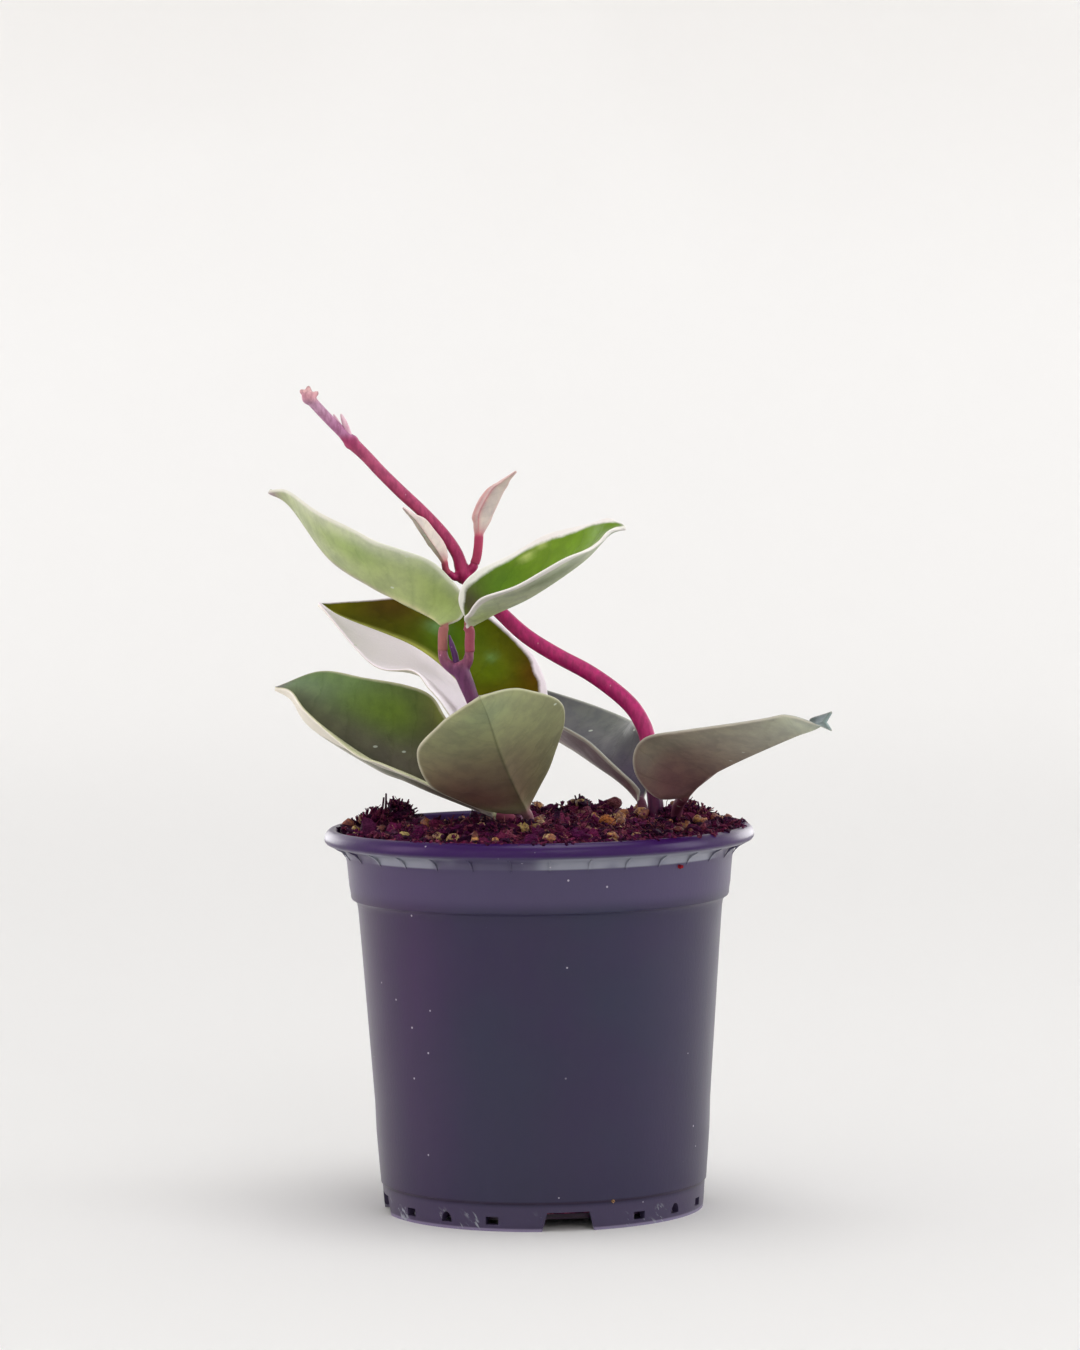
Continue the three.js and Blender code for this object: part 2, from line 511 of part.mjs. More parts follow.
function barkLump([x, y, z, radius], i) {
  const geometry = new THREE.IcosahedronGeometry(radius, 0);
  geometry.scale(1.15, 0.85, 0.9);
  geometry.rotateX(1.7 * i);
  geometry.rotateZ(2.3 * i + 0.4);
  geometry.translate(x, y, z);
  return solid(geometry);
}

// The plain hole that a stem or stalk stands in, along its straight lower end.
function stemHole(path, stemRadius) {
  const length = 20;
  const radius = stemRadius + MIX_GAP + 0.08;
  const geometry = new THREE.CylinderGeometry(radius, radius, length, 12);
  geometry.translate(0, length / 2 - MIX_GAP, 0);
  geometry.applyQuaternion(towards(v3(path[1]).sub(v3(path[0])).normalize()));
  geometry.translate(...path[0].slice(0, 3));
  return solid(geometry);
}

function makeMix() {
  const wall = INSIDE_WALL.slice(2, -1).reverse();
  const rings = [mixRing(37.9 - MIX_GAP - 0.1, FLOOR_TOP_Z + MIX_GAP)];
  for (const [r, z] of wall) rings.push(mixRing(r - MIX_GAP - 0.1, z));
  rings.push(mixRing(INSIDE_WALL[1][0] - MIX_GAP - 0.1, INSIDE_WALL[1][1]));
  for (const share of [1, ...MIX_RINGS]) rings.push(mixRing(share * MIX_TOP_RADIUS));
  let mix = skin(rings, fanCap);
  LUMPS.forEach((lump, i) => {
    mix = mix.add(barkLump(lump, i));
  });
  for (const turn of NOTCH_TURNS) mix = mix.subtract(notchBlock(turn, 0.4));
  for (const path of [LEFT_STEM, VINE]) mix = mix.subtract(stemHole(path, path[0][3]));
  for (const name of ["leaf_low_left", "leaf_low_front", "leaf_right_front", "leaf_right_back"]) {
    mix = mix.subtract(stemHole(LEAVES[name].stalk, LEAVES[name].stalkRadius));
  }
  return mix;
}

function makeLeftStem() {
  const branches = [...LEFT_STEM_FORKS, LEFT_SHOOT];
  return branches.reduce((made, path) => made.add(tube(path, 8)), tube(LEFT_STEM, 10));
}

function makeVine() {
  const withStubs = VINE_STUBS.reduce((made, path) => made.add(tube(path, 7)), tube(VINE, 9));
  return VINE_SWELLINGS.reduce((made, bud) => made.add(swelling(bud)), withStubs);
}

const paint = (color, roughness) => new THREE.MeshStandardMaterial({ color, roughness, metalness: 0 });
const POT_PLASTIC = paint(0x4b4558, 0.38);
const BARK = paint(0x3a1f22, 0.95);
const VINE_SKIN = paint(0xa23162, 0.5);
const STEM_SKIN = paint(0x75426a, 0.55);
const DARK_LEAF = paint(0x4d5f2c, 0.4);
const BRIGHT_LEAF = paint(0x6f8f2a, 0.4);
const PALE_LEAF = paint(0x8b9672, 0.5);
const YOUNG_LEAF = paint(0xcf9a92, 0.5);

const plant = new THREE.Group();
function put(name, made, material) {
  const mesh = new THREE.Mesh(geometryOf(made), material);
  mesh.name = name;
  plant.add(mesh);
}

put("pot", makePot(), POT_PLASTIC);
put("potting_mix", makeMix(), BARK);
put("left_stem", makeLeftStem(), STEM_SKIN);
put("right_vine", makeVine(), VINE_SKIN);
put("leaf_low_left", leaf(LEAVES.leaf_low_left, BLADE), DARK_LEAF);
put("leaf_low_front", leaf(LEAVES.leaf_low_front, BLADE), PALE_LEAF);
put("leaf_middle_back", leaf(LEAVES.leaf_middle_back, BLADE), DARK_LEAF);
put("leaf_top_left", leaf(LEAVES.leaf_top_left, BLADE), PALE_LEAF);
put("leaf_top_right", leaf(LEAVES.leaf_top_right, BLADE), BRIGHT_LEAF);
put("leaf_right_front", leaf(LEAVES.leaf_right_front, BLADE), PALE_LEAF);
put("leaf_right_back", leaf(LEAVES.leaf_right_back, BLADE), DARK_LEAF);
put("young_leaf_left", leaf(LEAVES.young_leaf_left, YOUNG_BLADE), YOUNG_LEAF);
put("young_leaf_right", leaf(LEAVES.young_leaf_right, YOUNG_BLADE), YOUNG_LEAF);

export default plant;
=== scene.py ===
# The looks of a potted krimson queen hoya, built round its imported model: the moulded pot, the loose
# potting mix, two rooted cuttings with their variegated leaves, a pale studio and the camera.
# Sizes and places are in millimetres unless a comment says otherwise, and make_piece turns them into
# Blender's metres. Colours are red, green and blue out of 255.
import math
import random

import bmesh
import bpy
from mathutils import Matrix, Vector, noise


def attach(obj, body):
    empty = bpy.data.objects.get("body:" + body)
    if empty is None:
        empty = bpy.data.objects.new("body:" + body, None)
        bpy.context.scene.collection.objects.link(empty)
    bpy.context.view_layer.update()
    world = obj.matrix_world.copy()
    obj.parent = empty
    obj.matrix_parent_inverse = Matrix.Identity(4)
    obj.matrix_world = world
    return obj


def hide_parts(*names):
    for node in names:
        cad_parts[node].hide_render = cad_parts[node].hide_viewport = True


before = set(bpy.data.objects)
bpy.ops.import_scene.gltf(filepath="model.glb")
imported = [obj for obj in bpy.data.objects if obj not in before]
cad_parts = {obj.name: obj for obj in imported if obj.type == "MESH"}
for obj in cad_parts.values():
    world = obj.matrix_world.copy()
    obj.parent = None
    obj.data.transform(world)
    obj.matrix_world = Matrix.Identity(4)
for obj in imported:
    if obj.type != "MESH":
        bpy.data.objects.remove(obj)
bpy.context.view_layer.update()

MM = 0.001
UP = Vector((0, 0, 1))

# Camera: where it stands, what it looks at, and how the photograph was framed.
CAMERA_AT = (0, -1200, 196)
CAMERA_AIM = (0.7, 0, 130.4)
CAMERA_FOCAL = 4925  # in pixels of a picture 1350 high
PICTURE_HEIGHT = 1350
CAMERA_ROLL = -0.013  # radians
SENSOR_WIDTH = 36

# Pot: radius and height of its outside, from the foot to the top of the lip, and of its inside.
POT_SIDES = 192
POT_OUTSIDE = [
    (38.9, 0.1), (39.0, 0), (39.15, 1.4), (39.27, 2.9), (39.5, 6.5), (39.6, 6.75), (39.87, 7.0),
    (40.25, 11.8), (40.8, 19), (41.06, 26.6), (41.9, 38.4), (42.75, 50.3), (43.7, 63.6), (44.5, 73.9),
    (44.75, 75.4), (45.3, 76.1), (46.0, 76.5), (46.2, 76.9), (46.35, 78.4), (46.6, 79.8), (46.85, 82.8),
    (47.0, 84.5), (47.15, 85.8), (47.35, 86.8), (47.7, 87.8), (48.4, 88.7), (49.6, 89.3), (51.2, 89.7),
    (52.0, 90.1), (52.4, 90.6), (52.5, 91.0), (52.45, 91.6), (52.3, 92.2), (52.0, 92.7), (51.6, 93.1),
    (51.2, 93.4), (50.8, 93.55), (50.4, 93.6),
]
POT_INSIDE = [
    (49.9, 93.4), (49.5, 93.15), (49.3, 92.9), (49.1, 92.4), (48.9, 91.8), (48.0, 89.5), (46.7, 87.2),
    (46.0, 85.6), (45.4, 78.3), (44.9, 76.9), (43.45, 75.6), (38.35, 7.5), (38.2, 5.0), (37.9, 3.6),
]
FLOOR_TOP = 3.6
POT_UNDERSIDE = [(36.8, 2.4), (37.2, 2.2), (37.4, 1.9), (37.5, 0.1), (37.7, 0)]
FLOOR_UNDER = 2.4
NOTCH_TURNS = (-81.5, 8.5, 98.5, 188.5)  # degrees from +X
NOTCH_OUTLINE = [(-6.3, -1), (6.3, -1), (6.3, 0), (5.1, 4.6), (-5.1, 4.6), (-6.3, 0)]
NOTCH_INNER = 35.2
BLOCK_HALF = 7.4  # the raised block of floor behind each notch
BLOCK_HEIGHTS = (3, 5.8)
BLOCK_REACH = (34, 38.6)
SLOT_Z = 1.6
SLOT_INNER = 36.6
SQUARE_SLOT = (1.6, 1.9)  # half width and height
SQUARE_TURNS = (27, 63)  # degrees from each notch
ROUND_SLOT = (1.5, 2.5)
ROUND_TURN = 45
ROUND_STEPS = 10
CUT_OUTER = 44  # notches and slots are cut out to here, past the foot
DRAIN_RADIUS = 4.2
DRAIN_RING = 23
DRAIN_HEIGHTS = (1, 5)
DRAIN_TURN = 45
DRAIN_SIDES = 32
WEBS = 32
WEB_TURN = -87.1  # degrees from +X
WEB_THICK = 0.5
POT_SHARP, WEB_SHARP = 32, 30  # edges with a greater turn than this, in degrees, are kept sharp
WEB_OUTLINE = [(46.9, 86), (47.6, 86.9), (48.2, 87.7), (49.2, 88.6), (50.4, 89.2), (51, 89.6), (49.4, 90.2)]

# The pot's colours. A band is where it starts to show, where it is full, its strength and its colour.
POT_SLATE = (43, 43, 67)
POT_PLUM = (48, 33, 68)
# Painted light: the pot is tinted plum towards its left and right sides, where the tinted side lamps colour
# it.
SIDE_LIGHT_TINTS = [(-14, -34, 0.75, (60, 34, 74)), (18, 38, 0.4, (58, 42, 75))]  # to the left and right
POT_STREAKS = (48, 44, 66)
# Painted light: low on the body the pot is painted lighter for the floor's bounce, and the collar and neck
# lighter, partly for their glints. The lip band is the plastic's own violet.
HEIGHT_BANDS = [(60, 5, 0.45, (49, 44, 68)), (76, 80, 0.6, (81, 70, 103)), (90.1, 90.7, 1.0, (44, 0, 74))]
# Painted highlight: pale patches on the band under the lip, where the lamps reflect.
PAINTED_HIGHLIGHT_BAND = (86.8, 87.3, 89.7, 90.2)  # heights where it starts, is full, starts to fade and ends
PAINTED_HIGHLIGHT_GREY = (136, 138, 150)
# Painted shade: a dark line along the small step above the foot.
FOOT_LINE = (6.2, 6.6, 7.0, 7.4)
FOOT_STEP_SHADE = (38, 20, 46)
# Below its step the foot is painted lighter, and its bottom edge gets a pale painted highlight.
FOOT_BANDS = [(6.4, 5.6, 0.6, (72, 62, 88)), (0.9, 0.5, 0.6, (150, 140, 168))]
# Pale slanting strokes low on the foot: scuffs, and partly a painted reflection of the floor.
RUB_AND_REFLECTION_TONE = (150, 156, 162)
# Painted shade: the surfaces inside the foot, under its floor, are painted near black.
UNDER_FLOOR_SHADE = (34, 6, 36)
DUST_TONE = (176, 170, 182)

# Potting mix.
MIX_EDGE_Z = 92.4
MIX_CROWN = 1
MIX_RADIUS = 48.8
MIX_WALL = [(37.4, 4), (37.9, 7.5), (43, 75), (44.4, 76.6), (44.9, 78.3), (45.5, 85.6), (46.2, 87.2),
            (47.5, 89.5), (48.4, 91.4)]
MOUNDS = [  # x, y, height and spread of the heaps and hollows
    (-42, 6, 5, 3), (-34, 14, 4.8, 3), (-36, 12, 0.8, 3), (11, 28, 3, 3.2), (18.7, 34, 1.8, 2.6),
    (38, 8, 3.5, 4.6), (45, -2, 1.2, 4), (2, 27, 1.2, 5), (30, 8, 1.6, 6), (-12, 20, 0.8, 6),
    (-20, -30, 0.5, 6), (-25, 39, -8, 8), (-26, 20, -2.2, 6), (24, 42, -2.6, 6),
]
MIX_SEED = 11
MIX_SHARP = 25
BED_SIDES = 180
BED_RINGS = 60
BED_DEPTH = 0.7  # how far the bed's top lies under the mean surface of the loose pieces
BARK = {  # its pieces' colours, how dark and how light they can be, and the colour of their grain
    "tones": [(88, 10, 64), (56, 2, 48), (110, 22, 72), (128, 42, 80), (92, 12, 72), (44, 0, 42),
              (150, 70, 92)],
    "light": (0.75, 1.25), "grain": (34, 0, 28),
}
GRANULES = {
    "tones": [(206, 150, 80), (182, 118, 62), (158, 88, 56), (220, 186, 124), (136, 74, 56), (190, 164, 84)],
    "light": (0.65, 1.1), "grain": (84, 36, 36),
}
# Loose pieces: the detail of the ball they are made from, least and greatest size along each axis, lean
# in radians, roughness, and how far over the mix's surface their middle may lie.
LOOSE_PIECES = {
    "mix_bark": {"count": 1200, "detail": 2, "sizes": [(0.9, 2.5), (0.7, 1.6), (0.4, 0.9)], "lean": 0.6,
                 "rough": 0.8, "sink": (-0.5, 0.9)},
    "mix_crumbs": {"count": 2600, "detail": 1, "sizes": [(0.25, 0.8), (0.25, 0.7), (0.25, 0.6)], "lean": 3,
                   "rough": 0.9, "sink": (0, 1.4)},
    "mix_granules": {"count": 120, "detail": 2, "sizes": [(0.8, 2), (0.8, 1.7), (0.7, 1.5)], "lean": 3,
                     "rough": 0.4, "sink": (0.2, 1.5)},
    "mix_chunks": {"count": 70, "detail": 2, "sizes": [(1.5, 3), (1, 2), (0.7, 1.3)], "lean": 1.4,
                   "rough": 0.9, "sink": (0.2, 1.6)},
}
FIBRES = 1500
FIBRE_MARGIN = 5
FIBRE_RISE = (-0.1, 0.9)  # how steeply a fibre sets out
FIBRE_LENGTHS = (1.2, 4.5)
FIBRE_RADII = (0.1, 0.24)
FIBRE_TONES = [(110, 34, 62), (80, 20, 54), (136, 70, 72), (62, 14, 50), (92, 28, 60), (178, 120, 110)]
SPLINTERS = [(-38.8, 10, 94, 7), (-37.9, 10.5, 94, 8)]  # x, y, z and height of upright splinters
SPLINTER_RADIUS = 0.42
SPLINTER_TONE = (98, 56, 78)
TUFTS = [  # x, y, spread and count
    (-42, 6, 1.9, 90), (-33.5, 14, 1.5, 60), (39, 7, 2, 70), (44, -3, 1.4, 40), (11, 27, 1.2, 30),
]
TUFT_LENGTHS = (2, 4.2)
TUFT_RADII = (0.18, 0.4)
EDGE_CRUMBS = 620
CRUMB_SIZES = [(0.3, 1.1), (0.3, 0.9), (0.3, 0.7)]  # least and greatest along each axis
EDGE_INNER = 47.6
EDGE_REACH = 3.6
EDGE_Z = 93.3
BARE_LIP = (0.9, 3.95)  # the stretch of the lip, in radians, that no crumbs lie on
PLACED_GRANULES = [  # x, y, z, radius and colour of the few that stand out
    (18.7, 36, 95.4, 2.1, (128, 72, 74)), (-32.5, -28, 93.6, 1.5, (214, 190, 120)),
    (-20.4, -37, 93.7, 1.5, (232, 200, 130)), (16.5, -10, 95, 2, (200, 122, 60)),
]
STUCK_CRUMBS = [  # x, y, z, size and colour of bits that cling to the pot's outside
    (33.4, -33.9, 86.3, 0.8, (170, 30, 40)), (16.4, -36.2, 6.8, 0.7, (206, 160, 110)),
]

# Leaves. The curves run from the base to the tip, seen with the upper face up, and the stalk from its
# cut end to the base. Waves are the edge waves' height and how many there are. Sag is how far the left
# and the right half hang between midrib and edge, as a share of their width. Curls are stretches of
# edge that turn up: which side, where along the leaf, how long and how high. A patch of paint is a place
# along the leaf and across it (-1 at the left edge, 1 at the right), its reach both ways, its strength
# and its colour. Margins are the widths of the cream border at evenly spaced places, left and right.
LEAVES = {
    "leaf_low_left": {
        "slot": "leaf_green", "waves": (0.3, 2.5), "sag": (-0.02, 0.07),
        "stalk_radius": 1.2,
        "stalk": [(-5.6, -1.2, 86), (-5.6, -1.2, 93.4), (-6.8, -1, 95.4), (-8.6, -0.6, 96)],
        "rib": [(-10.3, -0.1, 96.2), (-14.7, 1.1, 97.8), (-26.1, 4.7, 102.1), (-33, 7.2, 105),
            (-40, 9.7, 107.8), (-55.7, 15, 117.4), (-61.1, 19.6, 124.2), (-65.3, 24, 126.6)],
        "left": [(-10.5, -1.2, 96.5), (-14.1, -8.6, 98.7), (-29.4, -13.9, 106.2), (-37.5, -13, 109.6),
            (-45.1, -10.6, 113.3), (-56.9, 1, 122.2), (-61.3, 15.6, 126.4), (-65.3, 23.7, 126.8)],
        "right": [(-9.9, 0, 97.3), (-10.4, 0.6, 106), (-21.4, 1.2, 118.6), (-25.9, 5.6, 125.3),
            (-32, 7.6, 127.9), (-42.2, 11.7, 129.6), (-53.4, 19.4, 131), (-65, 24.1, 126.9)],
        "upper": (96, 112, 66), "under": (148, 152, 124), "cream": (196, 196, 160),
        "under_cream": (236, 232, 212), "stalk_colour": (150, 72, 98),
        "upper_patches": [(0.9, 0.6, 0.2, 0.9, 0.9, (126, 150, 112)),
            (0.85, -0.4, 0.16, 0.5, 0.7, (104, 116, 100)), (0.58, 0.6, 0.13, 0.3, 0.9, (112, 142, 44)),
            (0.28, 0.5, 0.22, 0.7, 0.85, (94, 92, 54)), (0.5, 0.15, 0.4, 0.26, 0.9, (116, 108, 96)),
            (0.78, 0.9, 0.12, 0.3, 0.6, (104, 138, 66)), (0.36, 0.95, 0.1, 0.14, 0.8, (120, 128, 62)),
            (1.0, 0, 0.05, 2, 0.9, (140, 134, 142))],
        "under_patches": [(0.5, -0.05, 3, 0.09, 0.9, (222, 218, 200)),
            (0.2, -0.5, 0.2, 0.8, 0.5, (132, 118, 100))],
        "margins": [(8, 8, 9, 10, 12, 16, 16, 10), (0.5, 0.5, 0.4, 0.3, 0.3, 0.3, 0.2, 0.2)],
    },
    "leaf_low_front": {
        "slot": "leaf_pale", "waves": (0.4, 2), "sag": (0.035, 0.07),
        "stalk_radius": 1.3,
        "stalk": [(-2.4, -3.2, 86), (-2.4, -3.2, 93.8), (-2.6, -4, 95.8), (-3, -5.4, 97)],
        "rib": [(-3.4, -6.7, 97.7), (-4.2, -9.8, 100), (-5.1, -13.4, 102.4), (-7.4, -23.2, 108.5),
            (-9.5, -33.5, 114.9), (-11.3, -43.1, 121.5), (-12.1, -47.1, 124.4), (-13.4, -52.4, 128.3)],
        "left": [(-2.6, -6.3, 98.5), (0.7, -5.3, 104.8), (3.5, -8.9, 111.3), (6.7, -19.3, 120.6),
            (5, -29.2, 126), (-2, -39.4, 129.2), (-6.3, -44.4, 129.7), (-13.2, -52.3, 128.5)],
        "right": [(-5.4, -7.2, 97), (-12.5, -10.6, 98.2), (-19, -13.4, 101.2), (-26.7, -20.4, 106.4),
            (-28.8, -30.6, 114.2), (-23.9, -41.3, 120.5), (-20.4, -45.7, 123.8), (-13.7, -52.3, 128.3)],
        "upper": (78, 96, 50), "under": (158, 158, 118), "cream": (216, 210, 190),
        "under_cream": (206, 204, 174), "stalk_colour": (172, 122, 130),
        "upper_patches": [(0.5, 0.3, 0.3, 0.5, 0.8, (90, 126, 44))],
        # Underneath, the browner patches low near the base and the paler green near the tip are partly the
        # leaf's own colour and partly painted shade and light, as its lower part faces down.
        "under_patches": [(0.85, 0, 0.2, 0.9, 0.8, (154, 166, 126)),
            (0.5, -0.6, 0.2, 0.4, 0.6, (156, 162, 120)), (0.58, 0.6, 0.14, 0.4, 0.6, (146, 154, 118)),
            (0.2, -0.5, 0.2, 0.5, 0.9, (138, 130, 98)), (0.33, 0.5, 0.2, 0.7, 1, (154, 114, 104)),
            (0.45, 0.1, 0.1, 0.5, 0.6, (146, 132, 112)), (0.0, 0, 0.08, 2, 0.9, (156, 116, 118)),
            (0.5, 0, 0.6, 0.012, 0.7, (92, 94, 66))],
        "margins": [(0, 0), (0, 0.1, 0.3, 0.4, 0.3, 0.1, 0, 0)],
    },
    "leaf_top_left": {
        "slot": "leaf_pale", "waves": (0.4, 3), "sag": (0.07, 0.05),
        "stalk_radius": 1.2,
        "stalk": [(-23, 3.2, 136.5), (-23, 3.4, 138.8), (-22.9, 3.7, 140.9)],
        "rib": [(-22.6, 4, 142.2), (-25.1, 5.7, 144.6), (-29.2, 7.7, 147.1), (-34.7, 10.5, 149.8),
            (-40.5, 13.8, 152.7), (-50.8, 21.3, 159.3), (-60.8, 32.1, 172.1), (-66.6, 36.2, 175.5)],
        "left": [(-20.2, 4.6, 141.7), (-17.1, 7.4, 148), (-23.8, 3.6, 157), (-32.8, 1.2, 161.5),
            (-41.3, 2, 164.8), (-52.1, 9.2, 169.9), (-61.2, 27.1, 175.6), (-66.6, 35.9, 175.7)],
        "right": [(-21.6, 5.1, 142.6), (-21.3, 12.4, 143.6), (-24.2, 17.8, 144.2), (-28.3, 23.7, 146.4),
            (-32, 28.4, 151.7), (-40.5, 33.8, 158.3), (-56.4, 36.3, 170.4), (-66.4, 36.5, 175.5)],
        "upper": (96, 136, 40), "under": (178, 193, 130), "cream": (240, 236, 226),
        "under_cream": (226, 228, 208), "stalk_colour": (178, 112, 108),
        "upper_patches": [(0.3, 0, 0.3, 0.8, 0.7, (84, 104, 44))],
        "under_patches": [(0.6, -0.7, 0.14, 0.3, 0.7, (156, 187, 92)),
            (0.25, -0.5, 0.2, 0.5, 0.7, (163, 182, 101)), (0.42, -0.4, 0.14, 0.4, 0.6, (197, 208, 155)),
            (0.8, -0.5, 0.1, 0.6, 0.6, (188, 199, 153)), (0.7, -0.3, 0.1, 0.25, 0.5, (201, 210, 168)),
            (1.0, 0, 0.09, 2, 0.95, (175, 153, 164)), (0.75, 0, 0.35, 0.05, 0.8, (210, 197, 200)),
            (0.2, 0, 0.3, 0.06, 0.8, (220, 212, 168)), (0.55, -1, 0.4, 0.22, 0.7, (227, 231, 206))],
        "margins": [(0.3, 0.5, 0.6, 0.6, 0.6, 0.5, 0.3, 0.2), (0.5, 0.6, 0.8, 1, 1.2, 0.9, 0.4, 0.2)],
    },
    "leaf_top_right": {
        "slot": "leaf_green", "waves": (0.5, 4), "sag": (0.07, 0.02),
        "curls": [(1, 0.62, 0.05, 0.6), (1, 0.48, 0.05, -0.6)],
        "stalk_radius": 1.2,
        "stalk": [(-16.4, 2.4, 136.3), (-16.4, 2, 138.6), (-16.3, 1.4, 141.2)],
        "rib": [(-17, 0.9, 142.6), (-13.6, -0.4, 144.4), (-10, -1.8, 146.4), (-1.2, -5.8, 150.6),
            (10.7, -12.6, 158.7), (16.9, -16.3, 164.9), (19.5, -17.5, 166.3), (21.6, -18.3, 166.5)],
        "left": [(-17.4, 0.9, 143.8), (-18.9, 0.5, 149.9), (-14.6, 3.1, 155.7), (-1.8, 4.8, 162.1),
            (9.2, -2.7, 166.5), (16.8, -11.4, 168.4), (20, -15.5, 167.9), (21.7, -18, 166.7)],
        "right": [(-17.4, -0.2, 143), (-17.3, -6.4, 145.2), (-15, -11.6, 147.7), (-9.4, -19.3, 151.9),
            (4.6, -23.7, 157.3), (14.5, -21.8, 162.8), (18.4, -19.7, 165.9), (21.4, -18.6, 166.4)],
        "upper": (110, 146, 22), "under": (235, 240, 216), "cream": (244, 242, 234),
        "under_cream": (238, 234, 228), "stalk_colour": (174, 88, 108),
        "upper_patches": [(0.17, -0.4, 0.14, 1.4, 1, (88, 84, 54)),
            (0.34, -0.5, 0.08, 0.4, 0.7, (84, 124, 30)), (0.6, -0.5, 0.12, 0.3, 0.6, (126, 168, 44)),
            (0.42, -0.8, 0.02, 0.06, 0.8, (206, 220, 130)),
            (0.47, -0.86, 0.015, 0.05, 0.8, (206, 220, 130)), (0.97, -0.5, 0.06, 0.9, 0.8, (104, 124, 70))],
        "under_patches": [(0.2, 0.3, 0.16, 0.6, 0.9, (205, 220, 147)),
            (0.52, 0.4, 0.12, 0.5, 0.9, (145, 159, 112)), (0.75, 0.4, 0.08, 0.5, 0.6, (187, 193, 162)),
            (1.0, 0, 0.06, 2, 0.9, (194, 164, 173))],
        "margins": [(0.9, 1.4, 1.5, 1.4, 1.5, 1.2, 0.6, 0.3), (0.8, 1.2, 1.7, 1.9, 1.7, 1.3, 0.9, 0.5)],
    },
    "leaf_middle_back": {
        "slot": "leaf_green", "waves": (0.6, 3), "sag": (0.05, 0.07),
        "curls": [(-1, 0.52, 0.07, 0.9)],
        "stalk_radius": 1.1,
        "stalk": [(-9.6, 5.9, 107), (-9.7, 7, 107.7), (-9.8, 7.8, 108.8)],
        "rib": [(-9.9, 8.1, 109.9), (-12, 8.9, 114), (-14.2, 10.5, 118.5), (-17.2, 13.8, 123.8),
            (-21, 17.7, 128.9), (-31.1, 25.4, 136.4), (-48.7, 34.2, 143.2), (-54.7, 37.7, 146.9)],
        "left": [(-10.5, 7.1, 110), (-15.6, -0.3, 114.7), (-21.6, -2.2, 120.8), (-25.7, -1.2, 127.1),
            (-30.8, 1.8, 131.3), (-40.1, 9.4, 132.6), (-51.9, 27, 144.9), (-54.8, 37.4, 147)],
        "right": [(-8.9, 8.5, 110.3), (-2.2, 10.8, 115.7), (2.3, 13.9, 122.4), (1.3, 19.9, 129.3),
            (-3.7, 26.3, 137.3), (-19.7, 35.7, 147.6), (-44.4, 39.2, 147.6), (-54.5, 37.9, 147)],
        "upper": (84, 86, 0), "under": (206, 200, 180), "cream": (255, 247, 252),
        "under_cream": (236, 230, 214), "stalk_colour": (150, 86, 110),
        # The two small pale teal-green patches are painted highlights.
        "upper_patches": [(0.53, 0.5, 0.09, 0.4, 0.95, (98, 118, 2)),
            (0.67, 0.45, 0.06, 0.4, 0.9, (77, 112, 6)), (0.71, 0.5, 0.02, 0.1, 0.6, (121, 169, 110)),
            (0.58, 0.6, 0.014, 0.07, 0.6, (115, 158, 90)), (0.43, 0.9, 0.13, 0.25, 0.95, (95, 63, 10)),
            (0.28, 0.7, 0.12, 0.6, 0.9, (100, 84, 8)), (0.8, 0.8, 0.06, 0.5, 0.9, (82, 62, 18)),
            (0.9, 0.5, 0.05, 0.6, 0.7, (113, 107, 6)), (0.44, 0.35, 0.05, 0.3, 0.6, (95, 93, 4)),
            (0.55, 0.02, 0.6, 0.045, 0.95, (193, 196, 96))],
        "under_patches": [(0.3, 0.6, 0.4, 0.6, 0.9, (140, 146, 108))],
        "margins": [(30, 30), (1.6, 2.3, 2.0, 1.3, 0.9, 0.5, 0.4, 0.4)],
    },
    "leaf_right_front": {
        "slot": "leaf_pale", "waves": (0.5, 2.5), "sag": (0.02, 0.02),
        "stalk_radius": 1.4,
        "stalk": [(33.6, 2, 88), (33.6, 2, 94), (33.8, 0.2, 97), (34.3, -3.2, 98.9), (34.8, -6.4, 100)],
        "rib": [(35.2, -9.1, 100.9), (37, -13, 103.3), (39.2, -17.4, 105.8), (41.9, -22.8, 108.2),
            (49.1, -34.7, 112.7), (59.8, -51.1, 118.6), (63.3, -55.5, 120.1), (66.6, -59.6, 121.9)],
        "left": [(36.1, -8.5, 101.5), (45, -6.5, 108.4), (51.4, -6.8, 113.6), (57.1, -11, 114.5),
            (62, -24.5, 118.5), (66.7, -45.1, 120.3), (63.7, -54.5, 122.3), (68.2, -59.6, 124.3)],
        "right": [(34.4, -9.6, 100.7), (28, -16.9, 101.5), (23, -22.5, 108.5), (24.3, -28.3, 115.5),
            (34.1, -41.2, 118.8), (52.5, -54.7, 122.8), (59, -57.2, 123.1), (68.1, -60.3, 119.8)],
        "upper": (112, 124, 112), "under": (134, 119, 104), "cream": (206, 206, 190),
        "under_cream": (206, 200, 182), "stalk_colour": (118, 60, 84),
        "upper_patches": [(0.95, 0, 0.1, 2, 0.9, (138, 152, 154))],
        "under_patches": [(0.88, 0.4, 0.28, 1.4, 0.95, (195, 200, 180)),
            (0.2, 0.7, 0.3, 1.6, 1, (131, 93, 95)), (0.45, 0.85, 0.2, 0.2, 0.6, (159, 157, 136)),
            (1.0, 0, 0.05, 2, 0.9, (144, 165, 170)), (0.0, 0, 0.06, 2, 0.8, (148, 89, 98))],
        "margins": [(0.1, 0.2, 0.2, 0.2, 0.2, 0.1, 0, 0), (0.3, 0.3, 0.2, 0, 0, 0, 0, 0)],
    },
    "leaf_right_back": {
        "slot": "leaf_green", "waves": (0.5, 2.5), "sag": (0.01, 0.06),
        "stalk_radius": 1.2,
        "stalk": [(26.2, 12.4, 86), (26.2, 12.4, 94), (25.8, 12.4, 96.3)],
        "rib": [(25.2, 13, 98.2), (22.5, 16.4, 101.2), (19.6, 20.5, 103.5), (16.5, 25.7, 105.4),
